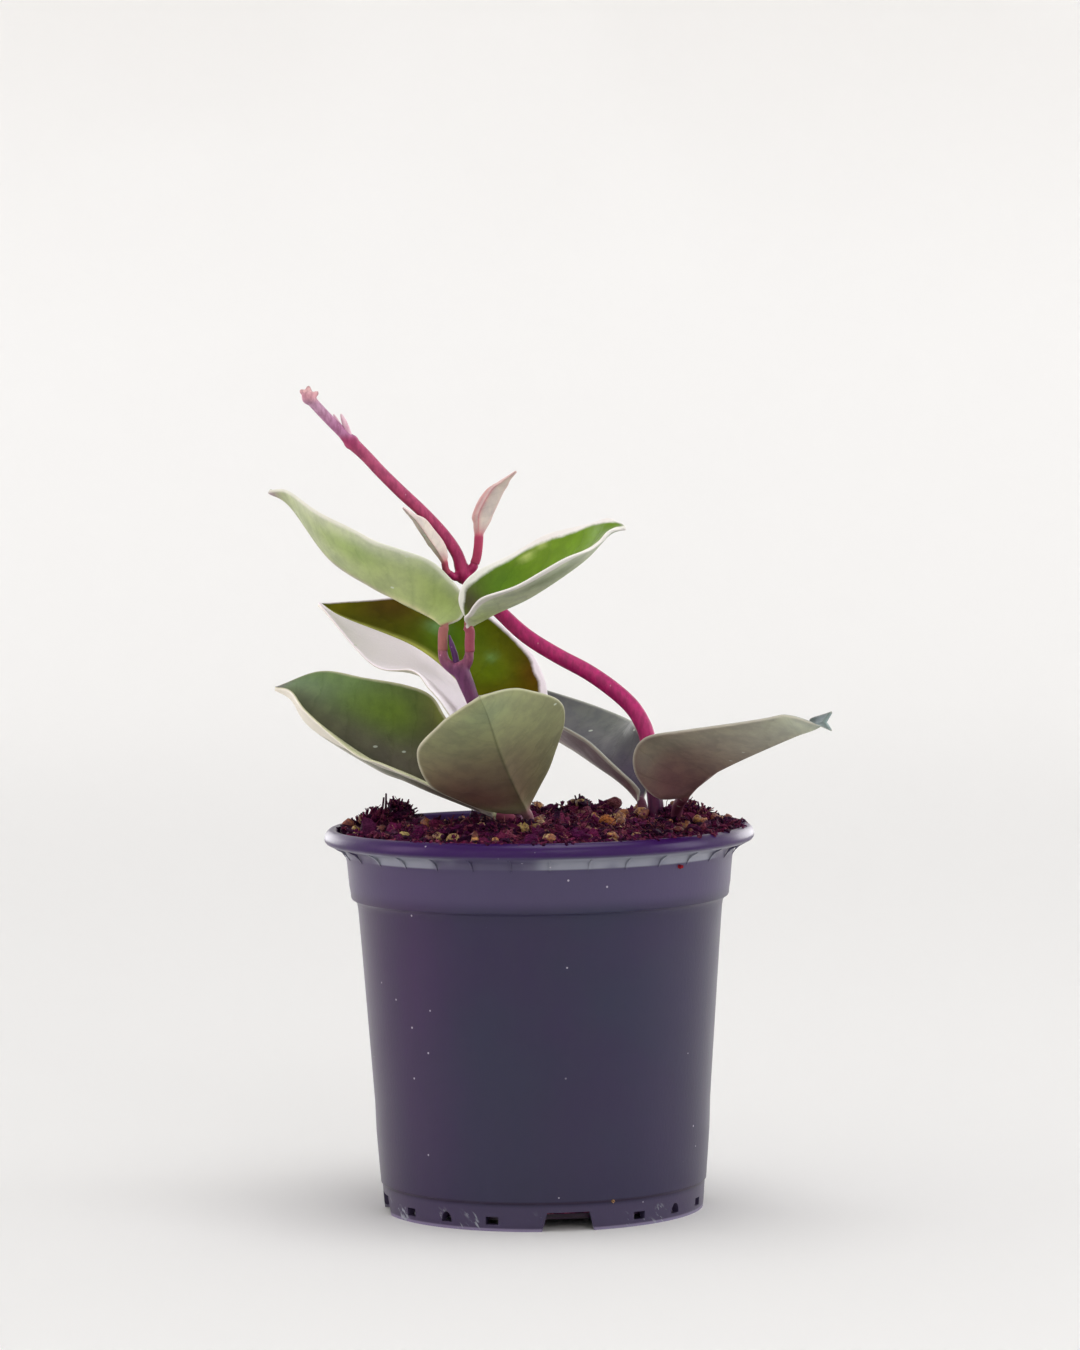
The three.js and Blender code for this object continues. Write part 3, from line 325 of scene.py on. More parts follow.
            (9.8, 37.2, 109.5), (3.2, 48.3, 113.2), (-2.3, 56.9, 119.5), (-5.2, 61.6, 125.1)],
        "left": [(25.9, 12.4, 99.2), (22.7, 10.9, 103.6), (16.2, 13.1, 109.4), (10.2, 17, 113.9),
            (1.6, 27.4, 119.2), (-0.3, 39.6, 120.6), (-1.6, 52.2, 122.7), (-5.1, 61.3, 125.3)],
        "right": [(26.4, 13, 99.2), (28.2, 15.8, 105), (27.2, 19.2, 111.2), (24.5, 24.8, 116.1),
            (22.9, 41.1, 116.5), (15, 52.1, 119.6), (3.3, 57.3, 123), (-4.9, 61.5, 125.3)],
        "upper": (116, 114, 118), "under": (150, 118, 126), "cream": (176, 178, 166),
        "under_cream": (198, 190, 176), "stalk_colour": (104, 56, 76),
        "upper_patches": [(0.2, 0.3, 0.25, 0.8, 0.9, (106, 94, 116)),
            (0.6, 0.8, 0.3, 0.3, 0.6, (120, 126, 118))],
        "under_patches": [(0.8, 0, 0.3, 2, 0.6, (136, 120, 114)),
            (0.5, -0.04, 3, 0.07, 0.8, (196, 188, 176))],
        "margins": [(1, 1.2, 1.3, 1.4, 1.4, 1.4, 1, 0.6), (0.4, 0.4, 0.4, 0.4, 0.4, 0.4, 0.3, 0.3)],
    },
    "young_leaf_left": {
        "slot": "leaf_young", "waves": (0.15, 2), "sag": (0.05, 0.05),
        "stalk_radius": 0.85,
        "stalk": [(-21.6, 12.3, 155.2), (-22.1, 11.9, 156), (-22.3, 11.6, 156.9)],
        "rib": [(-22.4, 11.1, 157.9), (-24, 10.6, 160.7), (-25.7, 10.2, 163.2), (-28.8, 9.6, 167.8),
            (-30.5, 9.3, 169.7), (-32.4, 9, 171.5)],
        "left": [(-21.4, 11.4, 158.4), (-21.9, 11.6, 161.2), (-23.1, 11.6, 163.8), (-26.6, 10.8, 168.3),
            (-29.4, 10, 169.8), (-32.1, 9.1, 171.6)],
        "right": [(-23.4, 11.4, 158.2), (-25.4, 11.6, 160.7), (-26.9, 11.6, 163.1), (-29.9, 10.8, 167.6),
            (-31.1, 10, 169.4), (-32.6, 9.1, 171.3)],
        "upper": (228, 206, 200), "under": (238, 224, 216), "cream": (238, 226, 218),
        "under_cream": (234, 214, 208), "stalk_colour": (196, 84, 112),
        "upper_patches": [(0.0, 0, 0.16, 2, 0.8, (206, 130, 130)), (1.0, 0, 0.1, 2, 0.9, (150, 100, 116))],
        "under_patches": [(0.0, 0, 0.16, 2, 0.8, (206, 126, 128)), (1.0, 0, 0.1, 2, 0.9, (150, 100, 116)),
            (0.5, 1, 0.5, 0.4, 0.8, (250, 212, 206)), (0.5, 0, 0.5, 0.1, 0.6, (224, 170, 166))],
        "margins": [(0, 0.5, 0.6, 0.5, 0.4, 0.2), (0, 0.5, 0.6, 0.5, 0.4, 0.2)],
    },
    "young_leaf_right": {
        "slot": "leaf_young", "waves": (0.15, 2), "sag": (0.05, 0.05),
        "stalk_radius": 1.15,
        "stalk": [(-15, 13.8, 157.5), (-14.5, 13.6, 159), (-14.1, 13.3, 161.6)],
        "rib": [(-13.9, 13, 164.2), (-14, 12.6, 167.4), (-13.5, 12.1, 170.6), (-10.5, 11.1, 175.8),
            (-8, 10.6, 177.7), (-4.5, 10.1, 180.1)],
        "left": [(-12.8, 13.4, 164.4), (-11.4, 13.8, 167.1), (-10.2, 14.1, 169.5), (-7.3, 12.9, 175.4),
            (-6.2, 11.6, 177.5), (-4.3, 10.2, 179.8)],
        "right": [(-15, 13.4, 164.4), (-15.3, 13.8, 167.1), (-15.2, 14.1, 169.6), (-12.4, 12.9, 175),
            (-9, 11.6, 177.3), (-4.8, 10.2, 180.1)],
        "upper": (228, 214, 206), "under": (226, 206, 200), "cream": (232, 216, 208),
        "under_cream": (230, 200, 194), "stalk_colour": (192, 72, 108),
        "upper_patches": [(0.5, 0.6, 0.5, 0.4, 0.9, (222, 164, 158)),
            (0.0, 0, 0.12, 2, 0.9, (210, 120, 132))],
        "under_patches": [(0.45, 0.8, 0.5, 0.5, 0.9, (222, 160, 158)),
            (0.4, 0, 0.6, 0.12, 0.8, (214, 130, 138)), (0.5, -0.6, 0.4, 0.4, 0.8, (228, 214, 210)),
            (0.0, 0, 0.12, 2, 0.9, (206, 110, 126)), (1.0, 0, 0.1, 2, 0.8, (176, 124, 130))],
        "margins": [(0, 0.3, 0.4, 0.4, 0.3, 0.2), (0, 0.3, 0.4, 0.4, 0.3, 0.2)],
    },
}
BLADE = {"mid": 1.3, "edge": 0.7, "rows": 84, "columns": 18}  # thicknesses, and how finely it is divided
YOUNG_BLADE = {"mid": 0.9, "edge": 0.55, "rows": 44, "columns": 9}
STALK_STEPS = 5  # rings from each point of a stalk to the next
BLADE_OPENS = (0.2, 13)  # how flat a blade is at its base, and how fast it flattens after it
STALK_OPEN = 1.45  # radians from the top of a stalk's ring to where its two faces meet
EDGE_ROUND = 0.4  # the blade thins over this width at its edge
RIDGE = (0.5, 0.9)  # height and width of the midrib's ridge below
GROOVE = (0.2, 0.6)  # depth and width of its groove above
WAVE_SHIFT = 0.3  # part of a wave by which the left edge's waves are ahead of the right's
DIMPLES = 0.35  # depth of the blade's soft dimples
LEAF_SKINS = {  # roughness, gloss and how dark the veins are
    "leaf_upper": (0.34, 0.12, 0.3), "leaf_under": (0.48, 0.12, 0.22), "leaf_shaded": (0.44, 0.03, 0.3),
}
LEAF_DIM = (0.87, 0.87, 0.87)
FLECK_TONE = (214, 222, 206)

# Stems: x, y, z and radius along the centre line, from the end in the mix.
LEFT_STEM = [
    (-4.8, 5, 86, 1.5), (-4.8, 5, 93, 1.5), (-5.8, 5, 96.5, 1.5), (-8.2, 4.6, 100.8, 1.55),
    (-10.3, 3.3, 106.6, 1.75), (-11.4, 3, 110.5, 1.55), (-13.3, 2.5, 117.7, 1.6), (-15.8, 2.6, 124.3, 1.7),
    (-17.5, 2.8, 128.8, 1.95), (-19, 3, 132.4, 2.2), (-19.6, 3, 133.6, 1.6),
]
LEFT_STEM_FORKS = [
    [(-19, 3, 131, 1.5), (-20.7, 3, 132.2, 1.5), (-22.5, 3.1, 133.9, 1.35), (-23, 3.2, 136, 1.2),
     (-23, 3.3, 137.6, 1.2)],
    [(-19, 3, 131, 1.5), (-18, 2.9, 132.2, 1.5), (-16.9, 2.7, 133.9, 1.3), (-16.5, 2.5, 136, 1.1),
     (-16.4, 2.4, 137.6, 1.05)],
]
LEFT_SHOOT = [
    (-19.6, 3, 132.5, 0.9), (-20, 2.9, 135.2, 0.8), (-20.7, 2.8, 137.6, 0.7), (-21.4, 2.7, 140.4, 0.3),
]
VINE = [
    (29.4, 7, 86, 2), (29, 7.2, 92.6, 2), (28.6, 7.4, 99.2, 2), (27.9, 8, 106.2, 2.05),
    (27, 8.7, 113.8, 2.05), (25.5, 9.3, 118.2, 2.05), (22.9, 10.3, 122.1, 2.05), (18.5, 11.4, 126.1, 2.05),
    (12.4, 12.5, 130.4, 2), (4.9, 13.5, 134.5, 1.95), (-2.7, 14.5, 139.4, 1.9), (-9, 15, 145.3, 1.8),
    (-13.8, 15, 150.3, 1.7), (-17.7, 14.5, 154.8, 1.9), (-19.3, 14, 159.7, 1.55),
    (-22.6, 13.5, 164.7, 1.5), (-27.9, 13, 170.5, 1.5), (-32.5, 12, 174.9, 1.55),
    (-37.6, 11, 180.1, 1.5), (-41.2, 10, 184.1, 1.5), (-44.6, 9, 187.5, 1.65),
    (-47.2, 8.5, 190.3, 1.35), (-50.8, 8, 194, 1.3), (-54.2, 7.2, 197.8, 1.3),
]
VINE_STUBS = [  # short ends that carry the young leaves
    [(-18, 14.3, 154.6, 0.95), (-19.4, 13.6, 154, 0.95), (-20.4, 12.9, 154.3, 0.95),
     (-21.6, 12.3, 155.3, 0.9)],
    [(-17.6, 14.3, 155, 1.15), (-16.4, 14, 155.6, 1.15), (-15.4, 13.8, 156.5, 1.15),
     (-15, 13.8, 157.6, 1.1)],
]
VINE_SWELLINGS = [  # nodes and end buds: centre, half length, half width, direction
    ((-17.9, 14.4, 154.6), 2.5, 2.2, (-0.5, 0, 1)),
    ((-44.8, 9, 187.7), 2, 1.9, (-0.7, 0, 0.7)),
    ((-55, 7, 198.7), 1.9, 1.75, (-0.7, 0, 0.7)),
    ((-56.3, 7, 200), 1.1, 0.75, (-0.8, 0, 0.5)),
    ((-55, 7.2, 200.6), 1.1, 0.75, (-0.1, 0.2, 1)),
    ((-53.4, 6.8, 199.5), 1.1, 0.7, (0.7, 0, 0.6)),
]
VINE_BRACTS = [  # pale papery bracts at the upper node: centre, half length, half width, direction
    ((-45.9, 8.4, 191.2), 3.9, 0.75, (-0.36, 0, 0.92)),
    ((-47.7, 9.6, 192), 3.2, 0.5, (-0.5, 0.1, 0.9)),
]
MAIN_SIDES, FORK_SIDES, SHOOT_SIDES = 20, 16, 14
VOXELS = {"left_stem_skin": 0.25, "left_stem_shoot": 0.2, "vine_skin": 0.28, "vine_bracts": 0.2}
SMOOTHING_ROUNDS = 5
STEM_DARK, VINE_DARK, BRACT_DARK = (60, 24, 60), (96, 14, 62), (190, 120, 150)
LENTICEL_TONE = (214, 170, 186)

# The colours of the stems by height.
BRACT_TINTS = [(187, (186, 96, 130)), (190, (214, 168, 186)), (195, (230, 204, 210))]
STEM_TINTS = [(86, (96, 50, 70)), (100, (118, 58, 92)), (112, (112, 56, 100)), (131, (112, 56, 98)),
              (135, (148, 80, 104)), (138, (174, 98, 108))]
SHOOT_TINTS = [(130, (112, 56, 98)), (135, (82, 36, 96)), (141, (96, 50, 104))]
# The vine is painted dark at its low end, under the leaves: partly its own dark purple, partly painted
# shade.
VINE_TINTS = [(86, (46, 14, 40)), (99, (60, 18, 52)), (105, (120, 24, 80)), (110, (166, 30, 96)),
              (120, (184, 34, 106)), (145, (180, 32, 102)), (153, (166, 22, 88)), (158, (176, 48, 98)),
              (172, (180, 66, 106)), (185, (178, 76, 112)), (188, (170, 60, 104)), (190, (180, 118, 156)),
              (197, (190, 146, 172)), (199, (216, 160, 168)), (201, (222, 180, 176))]

# Studio floor and wall.
FLOOR_RINGS = (0, 300, 900, 2000)
SWEEP = 1200  # radius of the bend from floor to wall
SWEEP_STEPS = 16
WALL_TOP = 2600
WALL_SIDES = 96
PAPER = (246, 245, 244)
# A faint painted soft shadow that clouds the wall high up.
PAPER_SHADOW = (236, 234, 232)

# Soft lamps. Their places and sizes are in metres and their power is in watts.
LIGHT_AIM = (0, 0, 0.1)
WHITE = (1, 1, 1)
LIGHTS = [  # name, place, width and height, power and colour
    ("overhead", (0.15, -0.1, 1.3), (0.7, 0.7), 4.5, WHITE),
    ("left_side", (-1.2, -0.2, 0.5), (0.4, 1.1), 3.9, (1, 0.7, 1)),
    ("right_side", (1.2, -0.1, 0.5), (0.4, 1.1), 5, (0.93, 0.93, 1)),
    ("front_fill", (0.5, -2.0, 1.2), (0.9, 0.9), 4.6, WHITE),
]
EDGE_CARD = {"x": 0.8, "y": 1.3, "z": 0.12, "aim": (0, 0, 0.08), "size": (0.8, 0.9), "power": 9}
WALL_WASH = {"count": 6, "ring": 1.8, "z": 2.2, "aim_ring": 3.2, "aim_z": 1, "size": (0.8, 0.8),
             "power": 11.8}
AIR_LIGHT = 0.5


def smooth01(x):
    """x held between 0 and 1, and eased at both ends."""
    c = min(max(x, 0), 1)
    return c * c * (3 - 2 * c)


def mix(a, b, share):
    return a + (b - a) * share


def linear(channel):
    """A colour channel out of 255 as the linear value that Blender's shaders take."""
    share = channel / 255
    return share / 12.92 if share <= 0.04045 else ((share + 0.055) / 1.055) ** 2.4


def colour(rgb):
    return Vector([linear(channel) for channel in rgb])


def polar(radius, turn):
    """x and y at a distance from the pot's axis, turned from +X by so many radians."""
    return radius * math.cos(turn), radius * math.sin(turn)


def all_round(count):
    """Evenly spaced turns all the way round, in radians."""
    return [2 * math.pi * k / count for k in range(count)]


def curve_point(points, t):
    """The point at t, 0 to 1, of a Catmull-Rom curve through the points."""
    spans = len(points) - 1
    place = min(max(t, 0), 1) * spans
    k = min(int(place), spans - 1)
    w = place - k
    a, b = points[k], points[k + 1]
    before = points[k - 1] if k > 0 else a * 2 - b
    after = points[k + 2] if k + 2 <= spans else b * 2 - a
    start, end = (b - before) * 0.5, (after - a) * 0.5
    return a + start * w + (b * 3 - a * 3 - start * 2 - end) * w**2 + (a * 2 - b * 2 + start + end) * w**3


def curve_tangent(points, t):
    step = 0.0001
    low, high = max(t - step, 0), min(t + step, 1)
    return (curve_point(points, high) - curve_point(points, low)).normalized()


def level(values, t):
    """The value at t, 0 to 1, of a list of evenly spaced values."""
    place = min(max(t, 0), 1) * (len(values) - 1)
    k = min(int(place), len(values) - 2)
    return mix(values[k], values[k + 1], smooth01(place - k))


def store(mesh, key, values):
    """Keeps a value or a colour at each point, for the material to read."""
    if isinstance(values[0], Vector):
        flat = [channel for value in values for channel in (*value, 1)]
        mesh.attributes.new(key, "FLOAT_COLOR", "POINT").data.foreach_set("color", flat)
    else:
        mesh.attributes.new(key, "FLOAT", "POINT").data.foreach_set("value", values)


def make_piece(name, points, faces, materials, slot, values=None, face_materials=None, sharp=None):
    """A piece from points in mm, with its own values and colours at each point."""
    mesh = bpy.data.meshes.new(name)
    mesh.from_pydata([[c * MM for c in p] for p in points], [], faces)
    piece = bpy.data.objects.new(name, mesh)
    bpy.context.scene.collection.objects.link(piece)
    for material in materials:
        mesh.materials.append(material)
    if face_materials:
        mesh.polygons.foreach_set("material_index", face_materials)
    for key, listed in (values or {}).items():
        store(mesh, key, listed)
    face_out(mesh)
    mesh.shade_smooth()
    if sharp:
        mesh.set_sharp_from_angle(angle=math.radians(sharp))
    if slot:
        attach(piece, "root")
    return piece


def face_out(mesh):
    """Turns every face of the mesh outwards."""
    work = bmesh.new()
    work.from_mesh(mesh)
    bmesh.ops.recalc_face_normals(work, faces=work.faces)
    work.to_mesh(mesh)
    work.free()


class Looks:
    """One material's nodes, with short calls for the few kinds that the looks are made of."""

    def __init__(self, name, roughness=0.5, gloss=0.5):
        self.material = bpy.data.materials.new(name)
        self.material.use_nodes = True
        self.nodes = self.material.node_tree.nodes
        self.links = self.material.node_tree.links
        self.shader = self.nodes["Principled BSDF"]
        self.shader.inputs["Roughness"].default_value = roughness
        self.shader.inputs["Specular IOR Level"].default_value = gloss
        self.base = None

    def put(self, socket, value):
        if isinstance(value, bpy.types.NodeSocket):
            self.links.new(value, socket)
        else:
            socket.default_value = value

    def node(self, kind, inputs, **settings):
        """A new node, set up and with its inputs filled. It gives the node's outputs."""
        made = self.nodes.new("ShaderNode" + kind)
        for key, value in settings.items():
            setattr(made, key, value)
        for key, value in inputs.items():
            self.put(made.inputs[key], value)
        return made.outputs

    def place(self, stretch=(1, 1, 1)):
        """The point on the object, in mm, stretched along each axis."""
        point = self.node("TexCoord", {})["Object"]
        return self.node("VectorMath", {0: point, 1: [s / MM for s in stretch]}, operation="MULTIPLY")[0]

    def axis(self, letter):
        """How far the point is from the pot's axis to the right (X), or up (Z), in mm."""
        return self.node("SeparateXYZ", {0: self.place()})[letter]

    def radius(self):
        """How far the point is from the pot's axis, in mm."""
        return self.node("VectorMath", {0: self.place((1, 1, 0))}, operation="LENGTH")["Value"]

    def slanted(self, degrees, stretch):
        """The point on the object, in mm, leant to one side and then stretched, for slanting marks."""
        lean = {"Vector": self.place(), "Angle": math.radians(degrees)}
        leant = self.node("VectorRotate", lean, rotation_type="Y_AXIS")[0]
        return self.node("VectorMath", {0: leant, 1: stretch}, operation="MULTIPLY")[0]

    def noise(self, scale, detail, roughness=0.55, stretch=(1, 1, 1), at=None):
        point = at or self.place(stretch)
        set_up = {"Vector": point, "Scale": scale, "Detail": detail, "Roughness": roughness}
        return self.node("TexNoise", set_up)["Fac"]

    def cells(self, scale, stretch=(1, 1, 1)):
        return self.node("TexVoronoi", {"Vector": self.place(stretch), "Scale": scale})["Distance"]

    def calc(self, operation, a, b=0.0):
        return self.node("Math", {0: a, 1: b}, operation=operation)[0]

    def times(self, a, b):
        return self.calc("MULTIPLY", a, b)

    def span(self, value, low, high, out_low=0.0, out_high=1.0):
        """The value brought from low..high to out_low..out_high, eased at both ends."""
        ends = {"Value": value, "From Min": low, "From Max": high, "To Min": out_low, "To Max": out_high}
        return self.node("MapRange", ends, interpolation_type="SMOOTHSTEP")[0]

    def between(self, value, low, full, fading, high):
        """1 between full and fading, eased down to 0 at low and at high."""
        return self.times(self.span(value, low, full), self.span(value, high, fading))

    def blend(self, share, a, b, kind="MIX"):
        a, b = (c if isinstance(c, bpy.types.NodeSocket) else (*c, 1) for c in (a, b))
        return self.node("Mix", {0: share, 6: a, 7: b}, data_type="RGBA", blend_type=kind)[2]

    def coat(self, share, rgb):
        """Paints a colour over the base, as far as the share says."""
        self.base = self.blend(share, self.base, colour(rgb))

    def bands(self, value, bands):
        """Paints each band over the base, growing from its start to where it is full."""
        for start, full, strength, rgb in bands:
            self.coat(self.span(value, start, full, 0.0, strength), rgb)

    def dim(self, share, factors):
        """Multiplies the base by the factors, as far as the share says."""
        self.base = self.blend(share, self.base, factors, "MULTIPLY")

    def attribute(self, name, output="Fac"):
        return self.node("Attribute", {}, attribute_name=name)[output]

    def tint(self):
        return self.attribute("tint", "Color")

    def bump(self, height, distance, strength):
        """Relief of the given height in mm."""
        relief = {"Strength": strength, "Distance": distance * MM, "Height": height}
        self.put(self.shader.inputs["Normal"], self.node("Bump", relief)[0])

    def finish(self, roughness=None):
        self.put(self.shader.inputs["Base Color"], self.base)
        if roughness is not None:
            self.put(self.shader.inputs["Roughness"], roughness)
        return self.material


def pot_plastic():
    """Semi-gloss moulded plastic, slate on the body and violet at the lip, with a little dust and with
    scuffs that also stand for the floor's reflection. Painted light and shade: plum at the sides, lighter
    low down and on the collar, a highlight band under the lip, a pale foot edge, and shade at the foot's
    step and inside the foot.
    """
    looks = Looks("pot_plastic", gloss=0.3)
    height = looks.axis("Z")
    cloud = looks.noise(0.03, 3)
    looks.base = looks.blend(looks.span(cloud, 0.4, 0.7, 0.0, 0.6), colour(POT_SLATE), colour(POT_PLUM))
    # Painted light: plum towards the sides, for the tinted side lamps.
    looks.bands(looks.axis("X"), SIDE_LIGHT_TINTS)
    streaks = looks.noise(0.25, 4, 0.6, (1, 1, 0.2))
    looks.coat(looks.span(streaks, 0.2, 0.9, 0.0, 0.35), POT_STREAKS)
    # Painted light: lighter low down for the floor's bounce, and on the collar partly for its glints; the
    # lip's own violet.
    looks.bands(height, HEIGHT_BANDS)
    # Painted highlight: pale patches on the band under the lip.
    highlight_boxes = looks.span(looks.noise(0.05, 2, stretch=(1, 1, 0.4)), 0.45, 0.6, 0.1, 1.0)
    looks.coat(looks.times(looks.between(height, *PAINTED_HIGHLIGHT_BAND), highlight_boxes), PAINTED_HIGHLIGHT_GREY)
    # Painted shade along the small step above the foot.
    looks.coat(looks.times(looks.between(height, *FOOT_LINE), 0.7), FOOT_STEP_SHADE)
    # The foot painted lighter below its step, with a pale painted highlight on its bottom edge.
    looks.bands(height, FOOT_BANDS)
    # Pale slanting strokes low on the foot: scuffs, and partly a painted reflection of the floor.
    strokes = looks.span(looks.noise(0.9, 3, 0.6, at=looks.slanted(35, (1.4, 0.5, 0.35))), 0.53, 0.66)
    rubbed_and_lit = looks.times(looks.span(height, 5.5, 2.5), looks.span(looks.noise(0.12, 2), 0.5, 0.62))
    looks.coat(looks.times(strokes, rubbed_and_lit), RUB_AND_REFLECTION_TONE)
    # Painted shade: inside the foot, under its floor, near black.
    under_floor_shade = looks.times(looks.span(looks.radius(), 37.2, 36.6), looks.span(height, 5.3, 4.9))
    looks.coat(under_floor_shade, UNDER_FLOOR_SHADE)
    dust = looks.span(looks.cells(0.2), 0.06, 0.04)
    looks.coat(looks.times(dust, looks.span(looks.noise(0.05, 2), 0.52, 0.56)), DUST_TONE)
    looks.bump(looks.noise(1.4, 4, stretch=(1, 1, 0.5)), 0.05, 0.5)
    return looks.finish(looks.span(cloud, 0.3, 0.7, 0.3, 0.36))


def bark_mix():
    """Damp bark and coir: each piece has its own tint, broken by fine dark grain."""
    looks = Looks("bark_mix", gloss=0.12)
    grain = looks.noise(1.6, 5, 0.7, (1, 1, 2.4))
    looks.base = looks.blend(looks.span(grain, 0.3, 0.7), colour(BARK["grain"]), looks.tint())
    looks.bump(grain, 0.5, 0.9)
    return looks.finish(looks.span(grain, 0.3, 0.7, 0.9, 0.6))


def granule_skin():
    """Rounded mineral granules in gold, tan and rust."""
    looks = Looks("granule_skin", roughness=0.6)
    grain = looks.noise(1.3, 4, 0.6)
    looks.base = looks.blend(looks.span(grain, 0.35, 0.7), colour(GRANULES["grain"]), looks.tint())
    looks.bump(grain, 0.3, 0.7)
    return looks.finish()


def leaf_skin(name, roughness, gloss, vein_depth):
    """Waxy leaf skin: painted tint, feathered cream margin, faint veins, pores and pale flecks."""
    looks = Looks(name, gloss=gloss)
    looks.base = looks.tint()
    looks.dim(1.0, LEAF_DIM)
    mottle = looks.noise(0.22, 4, 0.6)
    looks.dim(looks.span(mottle, 0.35, 0.7, 0.0, 0.35), (1.25, 1.3, 1.1))
    looks.dim(looks.span(mottle, 0.65, 0.3, 0.0, 0.35), (0.62, 0.66, 0.7))
    along = looks.times(looks.attribute("along"), 9.0)
    slant = looks.calc("SUBTRACT", along, looks.calc("ABSOLUTE", looks.attribute("across")))
    slant = looks.calc("ADD", slant, looks.times(mottle, 0.7))
    vein = looks.span(looks.calc("PINGPONG", slant, 0.5), 0.1, 0.0)
    looks.dim(looks.times(vein, vein_depth), (0.72, 0.76, 0.7))
    reach = looks.calc("SUBTRACT", looks.attribute("margin"), looks.attribute("rim"))
    ragged = looks.times(looks.calc("SUBTRACT", looks.noise(0.4, 4, 0.6), 0.5), looks.attribute("feather"))
    edge = looks.span(looks.calc("ADD", reach, ragged), -0.7, 0.45)
    looks.base = looks.blend(edge, looks.base, looks.attribute("cream", "Color"))
    flecks = looks.span(looks.cells(0.17, (0.6, 0.8, 1.3)), 0.08, 0.05)
    some = looks.span(looks.noise(0.06, 2), 0.53, 0.57)
    looks.coat(looks.times(looks.times(flecks, some), 0.7), FLECK_TONE)
    pores = looks.noise(5.0, 2)
    looks.dim(looks.span(pores, 0.35, 0.7, 0.0, 0.16), (0.6, 0.6, 0.6))
    relief = looks.calc("ADD", looks.times(pores, 0.25), looks.times(vein, -0.3))
    looks.bump(looks.calc("ADD", relief, mottle), 0.25, 0.5)
    return looks.finish(looks.span(mottle, 0.3, 0.7, roughness + 0.08, roughness - 0.06))


def stem_skin(name, dark):
    """Smooth young bark with fine lengthwise streaks and pale lenticels."""
    looks = Looks(name, gloss=0.3)
    tint = looks.tint()
    streak = looks.noise(0.9, 4, 0.6, (1, 1, 0.35))
    looks.base = looks.blend(looks.span(streak, 0.35, 0.65), looks.blend(0.45, tint, colour(dark)), tint)
    spots = looks.span(looks.cells(0.9, (1, 1, 0.6)), 0.16, 0.08)
    rare = looks.span(looks.noise(0.3, 2), 0.52, 0.6)
    looks.coat(looks.times(looks.times(spots, rare), 0.5), LENTICEL_TONE)
    looks.bump(streak, 0.18, 0.6)
    return looks.finish(looks.span(streak, 0.3, 0.7, 0.44, 0.32))


def studio_paper():
    """Matt pale paper with a very faint cloud of painted soft shadow high on the wall."""
    looks = Looks("studio_paper", roughness=0.9)
    cloud = looks.span(looks.noise(0.003, 1), 0.35, 0.65)
    high = looks.span(looks.axis("Z"), 200, 700)
    looks.base = looks.blend(looks.times(cloud, high), colour(PAPER), colour(PAPER_SHADOW))
    return looks.finish()


def lathe(rows, sides):
    """Points and faces of a surface turned from (radius, z) rows; a row on the axis is one point."""
    points, faces, rings = [], [], []
    for radius, z in rows:
        count = sides if radius > 0 else 1
        rings.append([len(points) + j for j in range(count)])
        points += [(*polar(radius, turn), z) for turn in all_round(count)]
    for low, high in zip(rings, rings[1:]):
        for j in range(sides):
            n = (j + 1) % sides
            if len(low) == 1:
                faces.append((low[0], high[n], high[j]))
            elif len(high) == 1:
                faces.append((low[j], low[n], high[0]))
            else:
                faces.append((low[j], low[n], high[n], high[j]))
    return points, faces


def prism(outline, ends, degrees, across=True):
    """A prism on a radius of the pot: an outline of (sideways, z) drawn out along the radius between
    the ends, or an outline of (radius, z) drawn out sideways."""
    out = Vector((*polar(1, math.radians(degrees)), 0))
    side = Vector((-out.y, out.x, 0))
    wide, deep = (side, out) if across else (out, side)
    n = len(outline)
    points = [deep * d + wide * w + UP * z for d in ends for w, z in outline]
    faces = [(j, (j + 1) % n, n + (j + 1) % n, n + j) for j in range(n)]
    faces += [tuple(reversed(range(n))), tuple(range(n, 2 * n))]
    return points, faces


def joined(parts):
    """The points and faces of all the parts, as one set."""
    points, faces = [], []
    for some_points, some_faces in parts:
        start = len(points)
        points += some_points
        faces += [tuple(start + i for i in face) for face in some_faces]
    return points, faces


def carve(piece, parts, operation):
    """Joins the parts to the piece, or cuts them out of it."""
    tool = make_piece("tool", *joined(parts), [], None)
    cut = piece.modifiers.new("cut", "BOOLEAN")
    cut.operation = operation
    cut.solver = "EXACT"
    cut.object = tool
    settle(piece)
    bpy.data.objects.remove(tool)


def settle(piece):
    """Turns what the piece's modifiers make into its own mesh."""
    bpy.context.view_layer.update()
    shown = piece.evaluated_get(bpy.context.evaluated_depsgraph_get())
    made = bpy.data.meshes.new_from_object(shown)
    piece.modifiers.clear()
    piece.data = made


def drain_hole(x, y):
    low, high = DRAIN_HEIGHTS
    points, faces = lathe([(0, low), (DRAIN_RADIUS, low), (DRAIN_RADIUS, high), (0, high)], DRAIN_SIDES)
    return [(px + x, py + y, pz) for px, py, pz in points], faces


def box_outline(half, low, high):
    return [(-half, low), (half, low), (half, high), (-half, high)]


def arch_outline(half, low, high):
    turns = [math.pi * k / ROUND_STEPS for k in range(ROUND_STEPS + 1)]
    return [(half * math.cos(turn), low + high * math.sin(turn)) for turn in turns]


